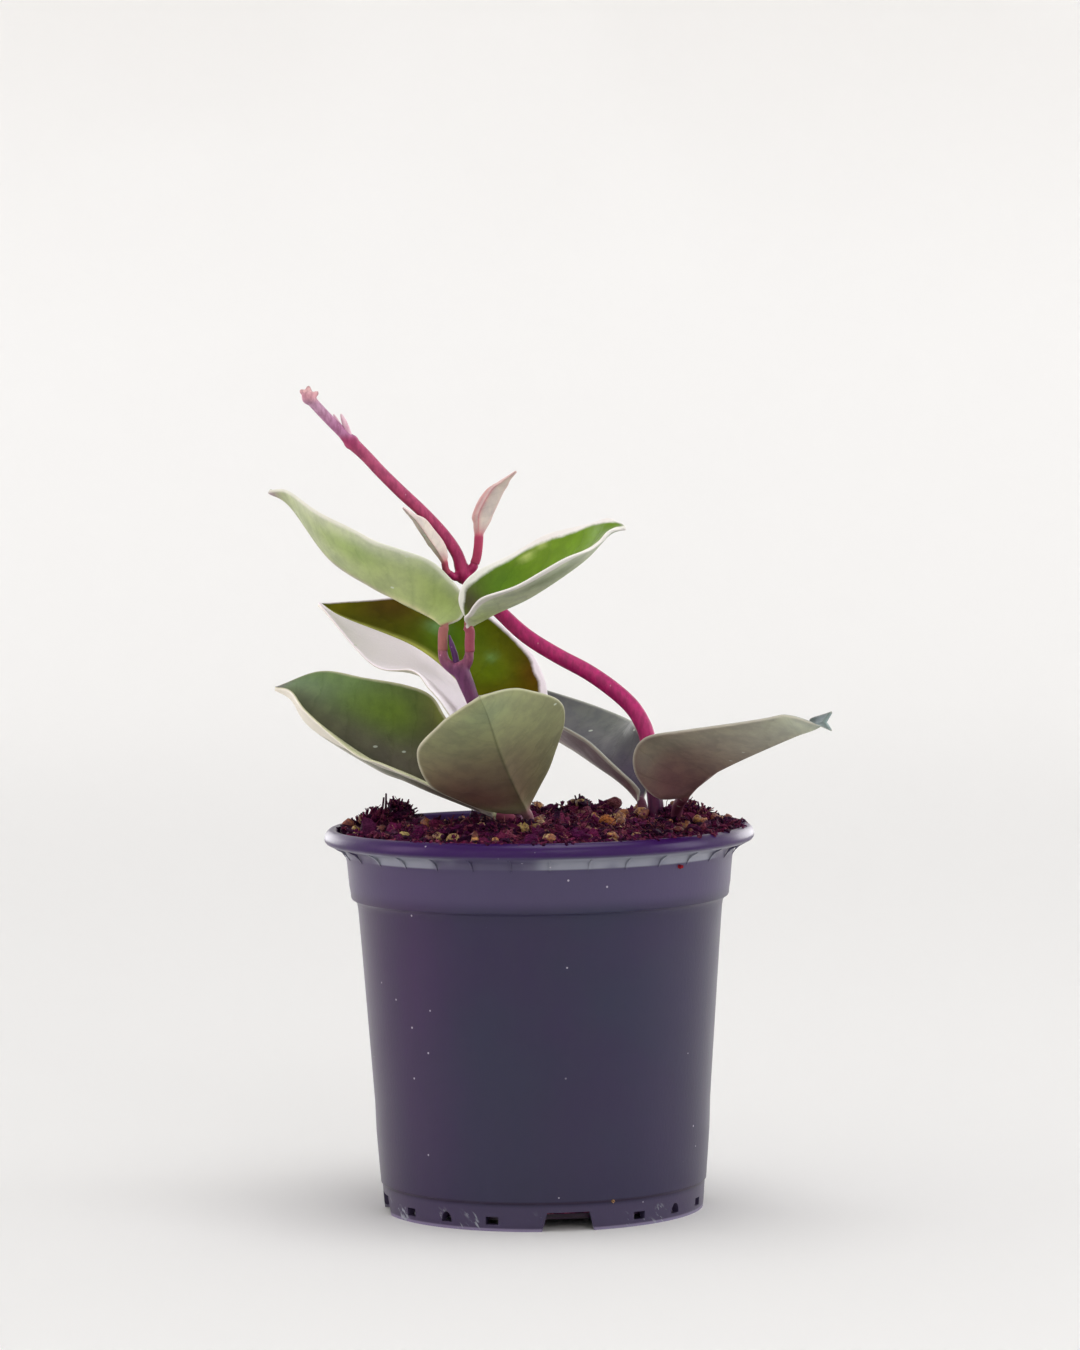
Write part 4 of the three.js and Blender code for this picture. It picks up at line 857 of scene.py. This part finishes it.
def make_pot(material):
    rows = [(0, FLOOR_UNDER), *POT_UNDERSIDE, *POT_OUTSIDE, *POT_INSIDE, (0, FLOOR_TOP)]
    pot = make_piece("pot_shell", *lathe(rows, POT_SIDES), [material], "pot")
    block = box_outline(BLOCK_HALF, *BLOCK_HEIGHTS)
    carve(pot, [prism(block, BLOCK_REACH, turn) for turn in NOTCH_TURNS], "UNION")
    square = box_outline(SQUARE_SLOT[0], SLOT_Z, SLOT_Z + SQUARE_SLOT[1])
    arch = arch_outline(ROUND_SLOT[0], SLOT_Z, ROUND_SLOT[1])
    cuts = [drain_hole(0, 0)]
    for turn in NOTCH_TURNS:
        cuts.append(prism(NOTCH_OUTLINE, (NOTCH_INNER, CUT_OUTER), turn))
        cuts += [prism(square, (SLOT_INNER, CUT_OUTER), turn + offset) for offset in SQUARE_TURNS]
        cuts.append(prism(arch, (SLOT_INNER, CUT_OUTER), turn + ROUND_TURN))
        cuts.append(drain_hole(*polar(DRAIN_RING, math.radians(turn + DRAIN_TURN))))
    carve(pot, cuts, "DIFFERENCE")
    pot.data.shade_smooth()
    pot.data.set_sharp_from_angle(angle=math.radians(POT_SHARP))
    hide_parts("pot")
    ends = (-WEB_THICK / 2, WEB_THICK / 2)
    webs = [prism(WEB_OUTLINE, ends, WEB_TURN + 360 / WEBS * k, across=False) for k in range(WEBS)]
    make_piece("pot_webs", *joined(webs), [material], "pot", sharp=WEB_SHARP)


def mix_height(x, y):
    """The mix's surface: a low crown with ripples that die away at the rim, and the heaps."""
    r = math.hypot(x, y) / MIX_RADIUS
    calm = smooth01((1.02 - r) / 0.25)
    ripple = 0.45 * math.sin(0.43 * x + 1.3) * math.cos(0.37 * y - 0.8)
    grain = 0.35 * math.sin(0.9 * x + 0.5 * y + 2.1)
    z = MIX_EDGE_Z + MIX_CROWN * (1 - r * r) + calm * (ripple + grain)
    for mx, my, height, spread in MOUNDS:
        away = ((x - mx) ** 2 + (y - my) ** 2) / (2 * spread * spread)
        z += height * math.exp(-away) * max(calm, 0.35)
    return z


def make_bed(material):
    """The mix's main body, with a rough top that the loose pieces lie in."""
    rows = [(0, MIX_WALL[0][1]), *MIX_WALL]
    rows += [(MIX_RADIUS * (1 - i / BED_RINGS), 0) for i in range(BED_RINGS)] + [(0, 0)]
    points, faces = lathe(rows, BED_SIDES)
    for i in range(1 + len(MIX_WALL) * BED_SIDES, len(points)):
        x, y, _ = points[i]
        rough = noise.fractal(Vector((x, y, 0)) * 0.35, 0.9, 2.1, 4) * 0.8
        at_rim = smooth01((MIX_RADIUS - math.hypot(x, y)) / 3)
        points[i] = (x, y, mix_height(x, y) - BED_DEPTH + rough * at_rim)
    tints = [random_tint(random.Random(int(x * 3) * 7919 + int(y * 3)), BARK) for x, y, _ in points]
    bed = make_piece("mix_bed", points, faces, [material], "mix", {"tint": tints})
    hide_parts("potting_mix")


def random_tint(rng, skin):
    return colour(rng.choice(skin["tones"])) * rng.uniform(*skin["light"])


def ball(detail):
    """Points and faces of a ball of radius 1."""
    work = bmesh.new()
    bmesh.ops.create_icosphere(work, subdivisions=detail, radius=1)
    points = [v.co.copy() for v in work.verts]
    faces = [tuple(v.index for v in f.verts) for f in work.faces]
    work.free()
    return points, faces


def random_turn(rng, lean):
    """A turn about the vertical, then a lean of up to the given radians either way."""
    spin = Matrix.Rotation(rng.uniform(0, 2 * math.pi), 3, "Z")
    tips = [Matrix.Rotation(rng.uniform(-lean, lean), 3, axis) for axis in "XY"]
    return spin @ (tips[0] @ tips[1])


def chunk(shape, at, size, turn, rough, seed):
    """A ball drawn out to the size, roughened, turned and put in its place."""
    out = []
    for p in shape[0]:
        push = 1 + rough * noise.noise(p * 1.6 + Vector((seed, 0, 0)))
        stretched = Vector((p.x * size[0], p.y * size[1], p.z * size[2])) * push
        out.append(turn @ stretched + Vector(at))
    return out, shape[1]


class Heap:
    """Loose pieces gathered into one mesh, each with its own colour."""

    def __init__(self):
        self.parts = []
        self.tints = []

    def add(self, part, tint):
        self.parts.append(part)
        self.tints += [tint] * len(part[0])

    def make(self, name, material, sharp=None):
        make_piece(name, *joined(self.parts), [material], "mix", {"tint": self.tints}, sharp=sharp)


def scatter(name, kind, skin, material, sharp, rng):
    """Loose pieces spread evenly over the mix, each sunk a little into it."""
    heap, shape = Heap(), ball(kind["detail"])
    for i in range(kind["count"]):
        turn = rng.uniform(0, 2 * math.pi)
        size = [rng.uniform(*limits) for limits in kind["sizes"]]
        radius = (MIX_RADIUS - 0.6 * max(size)) * math.sqrt(rng.random())
        x, y = polar(radius, turn)
        at = (x, y, mix_height(x, y) + rng.uniform(*kind["sink"]))
        part = chunk(shape, at, size, random_turn(rng, kind["lean"]), kind["rough"], i * 3.7)
        heap.add(part, random_tint(rng, skin))
    heap.make(name, material, sharp)


def strand(start, heading, length, radius, rng, steps=9, wander=0.3):
    """A thin wandering fibre."""
    path, here, way = [], Vector(start), Vector(heading).normalized()
    for k in range(steps):
        path.append((*here, radius * (1 - 0.5 * k / steps)))
        way = (way + Vector([rng.uniform(-wander, wander) for _ in range(3)])).normalized()
        here = here + way * (length / steps)
    return tube(path, sides=5, per_span=1)


def scatter_fibres(material, rng):
    """Thin coir fibres over the mix, and a few upright splinters."""
    heap = Heap()
    for _ in range(FIBRES):
        turn = rng.uniform(0, 2 * math.pi)
        radius = (MIX_RADIUS - FIBRE_MARGIN) * math.sqrt(rng.random())
        x, y = polar(radius, turn)
        flat = rng.uniform(0, 2 * math.pi)
        heading = (*polar(1, flat), rng.uniform(*FIBRE_RISE))
        length, thick = rng.uniform(*FIBRE_LENGTHS), rng.uniform(*FIBRE_RADII)
        part = strand((x, y, mix_height(x, y) + 0.4), heading, length, thick, rng)
        heap.add(part, colour(rng.choice(FIBRE_TONES)))
    for x, y, z, tall in SPLINTERS:
        part = strand((x, y, z), (0.05, 0, 1), tall, SPLINTER_RADIUS, rng, wander=0.04)
        heap.add(part, colour(SPLINTER_TONE))
    heap.make("mix_fibres", material)


def scatter_tufts(material, rng):
    """Bunches of short stiff fibres that stand out of the heaps near the rim."""
    heap = Heap()
    for x, y, spread, count in TUFTS:
        for _ in range(count):
            px, py = x + rng.gauss(0, spread), y + rng.gauss(0, spread)
            heading = Vector((px - x, py - y, 2.2 + rng.random() * 2)).normalized()
            root = (px, py, mix_height(px, py) - 0.6)
            length, thick = rng.uniform(*TUFT_LENGTHS), rng.uniform(*TUFT_RADII)
            heap.add(strand(root, heading, length, thick, rng, steps=5), random_tint(rng, BARK))
    heap.make("mix_tufts", material)


def scatter_edge_crumbs(material, rng):
    """Crumbs on the rounded top of the pot's lip, and the few pieces that have a place of their own."""
    heap, small, fine = Heap(), ball(1), ball(3)
    for i in range(EDGE_CRUMBS):
        turn = rng.uniform(0, 2 * math.pi)
        radius = EDGE_INNER + EDGE_REACH * rng.random() ** 1.3
        if BARE_LIP[0] < turn < BARE_LIP[1]:
            continue
        size = [rng.uniform(*limits) for limits in CRUMB_SIZES]
        at = (*polar(radius, turn), EDGE_Z)
        heap.add(chunk(small, at, size, random_turn(rng, 3), 0.8, i * 2.3), random_tint(rng, BARK))
    placed = [(fine, (1, 1, 0.9), 0.3, spot) for spot in PLACED_GRANULES]
    placed += [(small, (1, 0.6, 0.7), 0.5, spot) for spot in STUCK_CRUMBS]
    for shape, stretch, rough, (x, y, z, size, rgb) in placed:
        sizes = [size * s for s in stretch]
        heap.add(chunk(shape, (x, y, z), sizes, random_turn(rng, 1), rough, z), colour(rgb))
    heap.make("mix_edge_crumbs", material, MIX_SHARP)


def grid_faces(rows, columns):
    """Faces of a closed tube of rows, each with the given number of points."""
    return [(i * columns + j, i * columns + n, (i + 1) * columns + n, (i + 1) * columns + j)
            for i in range(rows - 1) for j, n in zip(range(columns), [*range(1, columns), 0])]


def tube(points, sides, per_span=4):
    """A round tube through points that each end in its radius there."""
    centres = [Vector(p[:3]) for p in points]
    spans = len(points) - 1
    count = spans * per_span
    out, side = [], None
    for i in range(count + 1):
        t = i / count
        centre, along = curve_point(centres, t), curve_tangent(centres, t)
        side = along.orthogonal() if side is None else side
        side = (side - along * side.dot(along)).normalized()
        across = along.cross(side)
        k = min(int(t * spans), spans - 1)
        radius = mix(points[k][3], points[k + 1][3], smooth01(t * spans - k))
        for x, y in [polar(radius, turn) for turn in all_round(sides)]:
            out.append(centre + side * x + across * y)
    faces = grid_faces(count + 1, sides)
    faces += [tuple(reversed(range(sides))), tuple(range(count * sides, (count + 1) * sides))]
    return out, faces


def bud(centre, half, wide, direction):
    """A plump bud, node or bract: a ball drawn out along its direction."""
    points, faces = ball(3)
    turn = UP.rotation_difference(Vector(direction).normalized()).to_matrix()
    return [turn @ Vector((p.x * wide, p.y * wide, p.z * half)) + Vector(centre) for p in points], faces


def height_tint(tints, z):
    """The colour at a height, blended from the listed ones."""
    for (low, a), (high, b) in zip(tints, tints[1:]):
        if z <= high:
            return colour(a).lerp(colour(b), smooth01((z - low) / (high - low)))
    return colour(tints[-1][1])


def make_stem(name, parts, tints, material, slot, node=None):
    """Fuses the tubes and buds into one skin, rounds it and paints it by height."""
    stem = make_piece(name, *joined(parts), [material], slot)
    fuse = stem.modifiers.new("fuse", "REMESH")
    fuse.mode = "VOXEL"
    fuse.voxel_size = VOXELS[name] * MM
    ease = stem.modifiers.new("ease", "SMOOTH")
    ease.factor = 0.5
    ease.iterations = SMOOTHING_ROUNDS
    settle(stem)
    stem.data.shade_smooth()
    store(stem.data, "tint", [height_tint(tints, v.co.z / MM) for v in stem.data.vertices])
    if node:
        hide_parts(node)


def leaf_stations(shape, rows):
    """Places along the leaf: round ones on the stalk, then ones that flatten into the blade."""
    rib, left, right = ([Vector(p) for p in shape[key]] for key in ("rib", "left", "right"))
    blade = []
    for i in range(rows + 1):
        t = i / rows
        at_left, at_right, along = curve_point(left, t), curve_point(right, t), curve_tangent(rib, t)
        up = (at_right - at_left).cross(along).normalized()
        blade.append({"t": t, "centre": curve_point(rib, t), "left": at_left, "right": at_right,
                      "along": along, "up": up, "flat": smooth01(BLADE_OPENS[0] + t * BLADE_OPENS[1])})
    stalk = [Vector(p) for p in shape["stalk"]] + [blade[0]["centre"]]
    count = len(shape["stalk"]) * STALK_STEPS
    stalk_rows, up = [], blade[0]["up"]
    for i in reversed(range(count)):
        t = i / count
        along = curve_tangent(stalk, t)
        up = (up - along * up.dot(along)).normalized()
        centre = curve_point(stalk, t)
        stalk_rows.insert(0, {"t": t - 1, "centre": centre, "along": along, "up": up, "flat": 0})
    return stalk_rows + blade


def painted(base, patches, along, across):
    """The colour at a place on a leaf: its base, with each patch painted over it in turn."""
    shade = colour(base)
    for at, side, reach, reach_across, strength, rgb in patches:
        away = ((along - at) / reach) ** 2 + ((across - side) / reach_across) ** 2
        shade = shade.lerp(colour(rgb), strength * math.exp(-away))
    return shade


def blade_point(station, across, shape, seed):
    """A point on the blade's middle surface, which way its upper face looks, and the half's width."""
    t, out, is_left = station["t"], abs(across), across < 0
    reach = station["left" if is_left else "right"] - station["centre"]
    face_up = (reach * (-1 if is_left else 1)).cross(station["along"]).normalized()
    high, waves = shape["waves"]
    turns = waves * t + (WAVE_SHIFT if is_left else 0)
    wave = high * out**2 * math.sin(2 * math.pi * turns) * math.sin(math.pi * t)
    sag = shape["sag"][0 if is_left else 1] * reach.length * 4 * out * (1 - out)
    dimple = DIMPLES * noise.noise(Vector((t * 7, across * 3, seed))) * out * math.sin(math.pi * t)
    point = station["centre"] + reach * out
    point += face_up * (wave + dimple - sag)
    for curl_side, at, length, lift in shape.get("curls", []):
        if curl_side * across > 0:
            point.z += lift * math.exp(-(((t - at) / length) ** 2)) * smooth01((out - 0.6) / 0.4)
    return point, face_up, reach.length


def leaf_section(station, shape, blade, seed):
    """One ring of the leaf: its upper face from left to right, then its lower face back again."""
    radius, flat, t = shape["stalk_radius"], station["flat"], station["t"]
    side = station["along"].cross(station["up"]).normalized()
    columns = blade["columns"]
    upper, lower = [], []
    for j in range(-columns, columns + 1):
        out = 0.5 - 0.5 * math.cos(math.pi * abs(j) / columns)
        across = math.copysign(out, j) if j else 0.0
        turn = across * STALK_OPEN
        point = station["centre"] + side * (radius * math.sin(turn))
        half = radius * math.cos(turn)
        normal = station["up"].copy()
        rim, ridge, groove = radius, 0.0, 0.0
        if flat > 0:
            on_blade, face_up, width = blade_point(station, across, shape, seed)
            point = point.lerp(on_blade, flat)
            rim, away = (1 - out) * width, out * width
            round_edge = math.sqrt(max(1 - (1 - min(rim / EDGE_ROUND, 1)) ** 2, 0.02))
            flat_half = 0.5 * mix(blade["edge"], blade["mid"], (1 - out) ** 1.5) * round_edge
            half = mix(half, flat_half, flat)
            normal = normal.lerp(face_up, smooth01((away - 0.5) / 3)).normalized()
            ridge = RIDGE[0] * math.exp(-((away / RIDGE[1]) ** 2)) * (1 - t) ** 0.7 * flat
            groove = GROOVE[0] * math.exp(-((away / GROOVE[1]) ** 2)) * (1 - t) * flat
        entry = {"across": across, "rim": rim, "t": t, "flat": flat}
        upper.append((point + normal * (half - groove), entry))
        lower.insert(0, (point - normal * (half + ridge), entry))
    return upper, lower


def leaf_values(entry, shape, face, seed):
    """What the leaf's material reads at a point: its place, tints, the margin's width and raggedness."""
    t, across = max(entry["t"], 0), entry["across"]
    tint = painted(shape[face], shape[face + "_patches"], t, across)
    width = level(shape["margins"][0 if across < 0 else 1], t)
    width *= 1 + 0.5 * noise.noise(Vector((t * 12, across * 2, seed + 5)))
    return {
        "along": entry["t"], "across": across, "rim": entry["rim"],
        "margin": width * entry["flat"], "feather": min(1.4, 0.3 + 0.4 * width),
        "tint": colour(shape["stalk_colour"]).lerp(tint, entry["flat"]),
        "cream": colour(shape["cream" if face == "upper" else "under_cream"]),
    }


def make_leaf(node, materials, blade, seed):
    shape = LEAVES[node]
    points, listed = [], []
    stations = leaf_stations(shape, blade["rows"])
    for station in stations:
        upper, lower = leaf_section(station, shape, blade, seed)
        for face, row in (("upper", upper), ("under", lower)):
            points += [point for point, _ in row]
            listed += [leaf_values(entry, shape, face, seed) for _, entry in row]
    half = 2 * blade["columns"] + 1
    n = 2 * half
    faces = grid_faces(len(stations), n)
    face_materials = [0 if j < half - 1 else 1 for _ in stations[1:] for j in range(n)]
    for start in (0, (len(stations) - 1) * n):
        faces += [(start + k, start + k + 1, start + n - 2 - k, start + n - 1 - k) for k in range(half - 1)]
        face_materials += [1] * (half - 1)
    values = {key: [entry[key] for entry in listed] for key in listed[0]}
    piece = make_piece(node + "_fine", points, faces, materials, shape["slot"], values, face_materials)
    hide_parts(node)


def make_camera():
    at, aim = Vector(CAMERA_AT) * MM, Vector(CAMERA_AIM) * MM
    forward = (aim - at).normalized()
    right = forward.cross(UP).normalized()
    up = right.cross(forward)
    c, s = math.cos(CAMERA_ROLL), math.sin(CAMERA_ROLL)
    right, up = right * c + up * s, up * c - right * s
    data = bpy.data.cameras.new("camera")
    data.sensor_width = SENSOR_WIDTH
    data.lens = CAMERA_FOCAL / PICTURE_HEIGHT * SENSOR_WIDTH
    camera = bpy.data.objects.new("camera", data)
    turn = Matrix((right, up, -forward)).transposed()
    camera.matrix_world = Matrix.Translation(at) @ turn.to_4x4()
    bpy.context.scene.collection.objects.link(camera)
    bpy.context.scene.camera = camera


def soft_light(name, at, size, power, rgb=WHITE, aim=LIGHT_AIM):
    data = bpy.data.lights.new(name, "AREA")
    data.shape = "RECTANGLE"
    data.size, data.size_y = size
    data.energy = power
    data.color = rgb
    light = bpy.data.objects.new(name, data)
    light.visible_camera = False
    at = Vector(at)
    turn = (Vector(aim) - at).to_track_quat("-Z", "Y").to_matrix().to_4x4()
    light.matrix_world = Matrix.Translation(at) @ turn
    bpy.context.scene.collection.objects.link(light)
    return light


def keep_off(light, piece):
    """Lets a light miss one piece: the floor would show where a panel beside the pot begins."""
    missed = bpy.data.collections.new(f"{light.name}_misses")
    missed.objects.link(piece)
    missed.collection_objects[0].light_linking.link_state = "EXCLUDE"
    light.light_linking.receiver_collection = missed


def make_floor(material):
    """A pale floor that sweeps up into a wall all round, far outside the camera's ring."""
    rows = [(radius, 0) for radius in FLOOR_RINGS]
    for k in range(1, SWEEP_STEPS + 1):
        turn = math.pi / 2 * k / SWEEP_STEPS
        rows.append((FLOOR_RINGS[-1] + SWEEP * math.sin(turn), SWEEP - SWEEP * math.cos(turn)))
    rows.append((FLOOR_RINGS[-1] + SWEEP, WALL_TOP))
    floor = make_piece("studio_floor", *lathe(rows, WALL_SIDES), [material], None)
    return floor


def light_studio(floor):
    """Soft lamps round the pot, cards behind it that light its edges, and lamps that wash the wall."""
    for light in LIGHTS:
        lamp = soft_light(*light)
        if light[0].endswith("side"):
            keep_off(lamp, floor)
    for side in (-1, 1):
        at = (side * EDGE_CARD["x"], EDGE_CARD["y"], EDGE_CARD["z"])
        name, aim = f"edge_card_{side}", EDGE_CARD["aim"]
        card = soft_light(name, at, EDGE_CARD["size"], EDGE_CARD["power"], aim=aim)
        card.visible_diffuse = False
        keep_off(card, floor)
    for k, turn in enumerate(all_round(WALL_WASH["count"])):
        way = Vector((*polar(1, turn), 0))
        at = way * WALL_WASH["ring"] + UP * WALL_WASH["z"]
        aim = way * WALL_WASH["aim_ring"] + UP * WALL_WASH["aim_z"]
        soft_light(f"wall_wash_{k}", at, WALL_WASH["size"], WALL_WASH["power"], aim=aim)
    world = bpy.data.worlds.new("studio_air")
    world.use_nodes = True
    air = world.node_tree.nodes["Background"].inputs
    air["Color"].default_value = (*WHITE, 1)
    air["Strength"].default_value = AIR_LIGHT
    bpy.context.scene.world = world
    bpy.context.scene.view_settings.view_transform = "Standard"


def make_mix():
    bark, golden = bark_mix(), granule_skin()
    draw = random.Random(MIX_SEED)
    make_bed(bark)
    for name, kind in LOOSE_PIECES.items():
        if name == "mix_granules":
            scatter(name, kind, GRANULES, golden, None, draw)
        else:
            scatter(name, kind, BARK, bark, MIX_SHARP, draw)
    scatter_fibres(bark, draw)
    scatter_tufts(bark, draw)
    scatter_edge_crumbs(bark, draw)


def make_leaves():
    upper_skin, under_skin, shaded_skin = [leaf_skin(name, *looks) for name, looks in LEAF_SKINS.items()]
    for number, node in enumerate(LEAVES):
        blade = YOUNG_BLADE if node.startswith("young") else BLADE
        top_skin = shaded_skin if node == "leaf_middle_back" else upper_skin
        make_leaf(node, [top_skin, under_skin], blade, number * 1.7)


def make_stems():
    purple, magenta = stem_skin("stem_purple", STEM_DARK), stem_skin("vine_magenta", VINE_DARK)
    papery = stem_skin("bract_skin", BRACT_DARK)
    stem = [tube(LEFT_STEM, MAIN_SIDES)] + [tube(path, FORK_SIDES) for path in LEFT_STEM_FORKS]
    make_stem("left_stem_skin", stem, STEM_TINTS, purple, "stem", "left_stem")
    make_stem("left_stem_shoot", [tube(LEFT_SHOOT, SHOOT_SIDES)], SHOOT_TINTS, purple, "stem")
    vine = [tube(VINE, MAIN_SIDES)] + [tube(path, FORK_SIDES) for path in VINE_STUBS]
    vine += [bud(*swelling) for swelling in VINE_SWELLINGS]
    make_stem("vine_skin", vine, VINE_TINTS, magenta, "vine", "right_vine")
    make_stem("vine_bracts", [bud(*bract) for bract in VINE_BRACTS], BRACT_TINTS, papery, "vine")


make_camera()
light_studio(make_floor(studio_paper()))
make_pot(pot_plastic())
make_mix()
make_leaves()
make_stems()
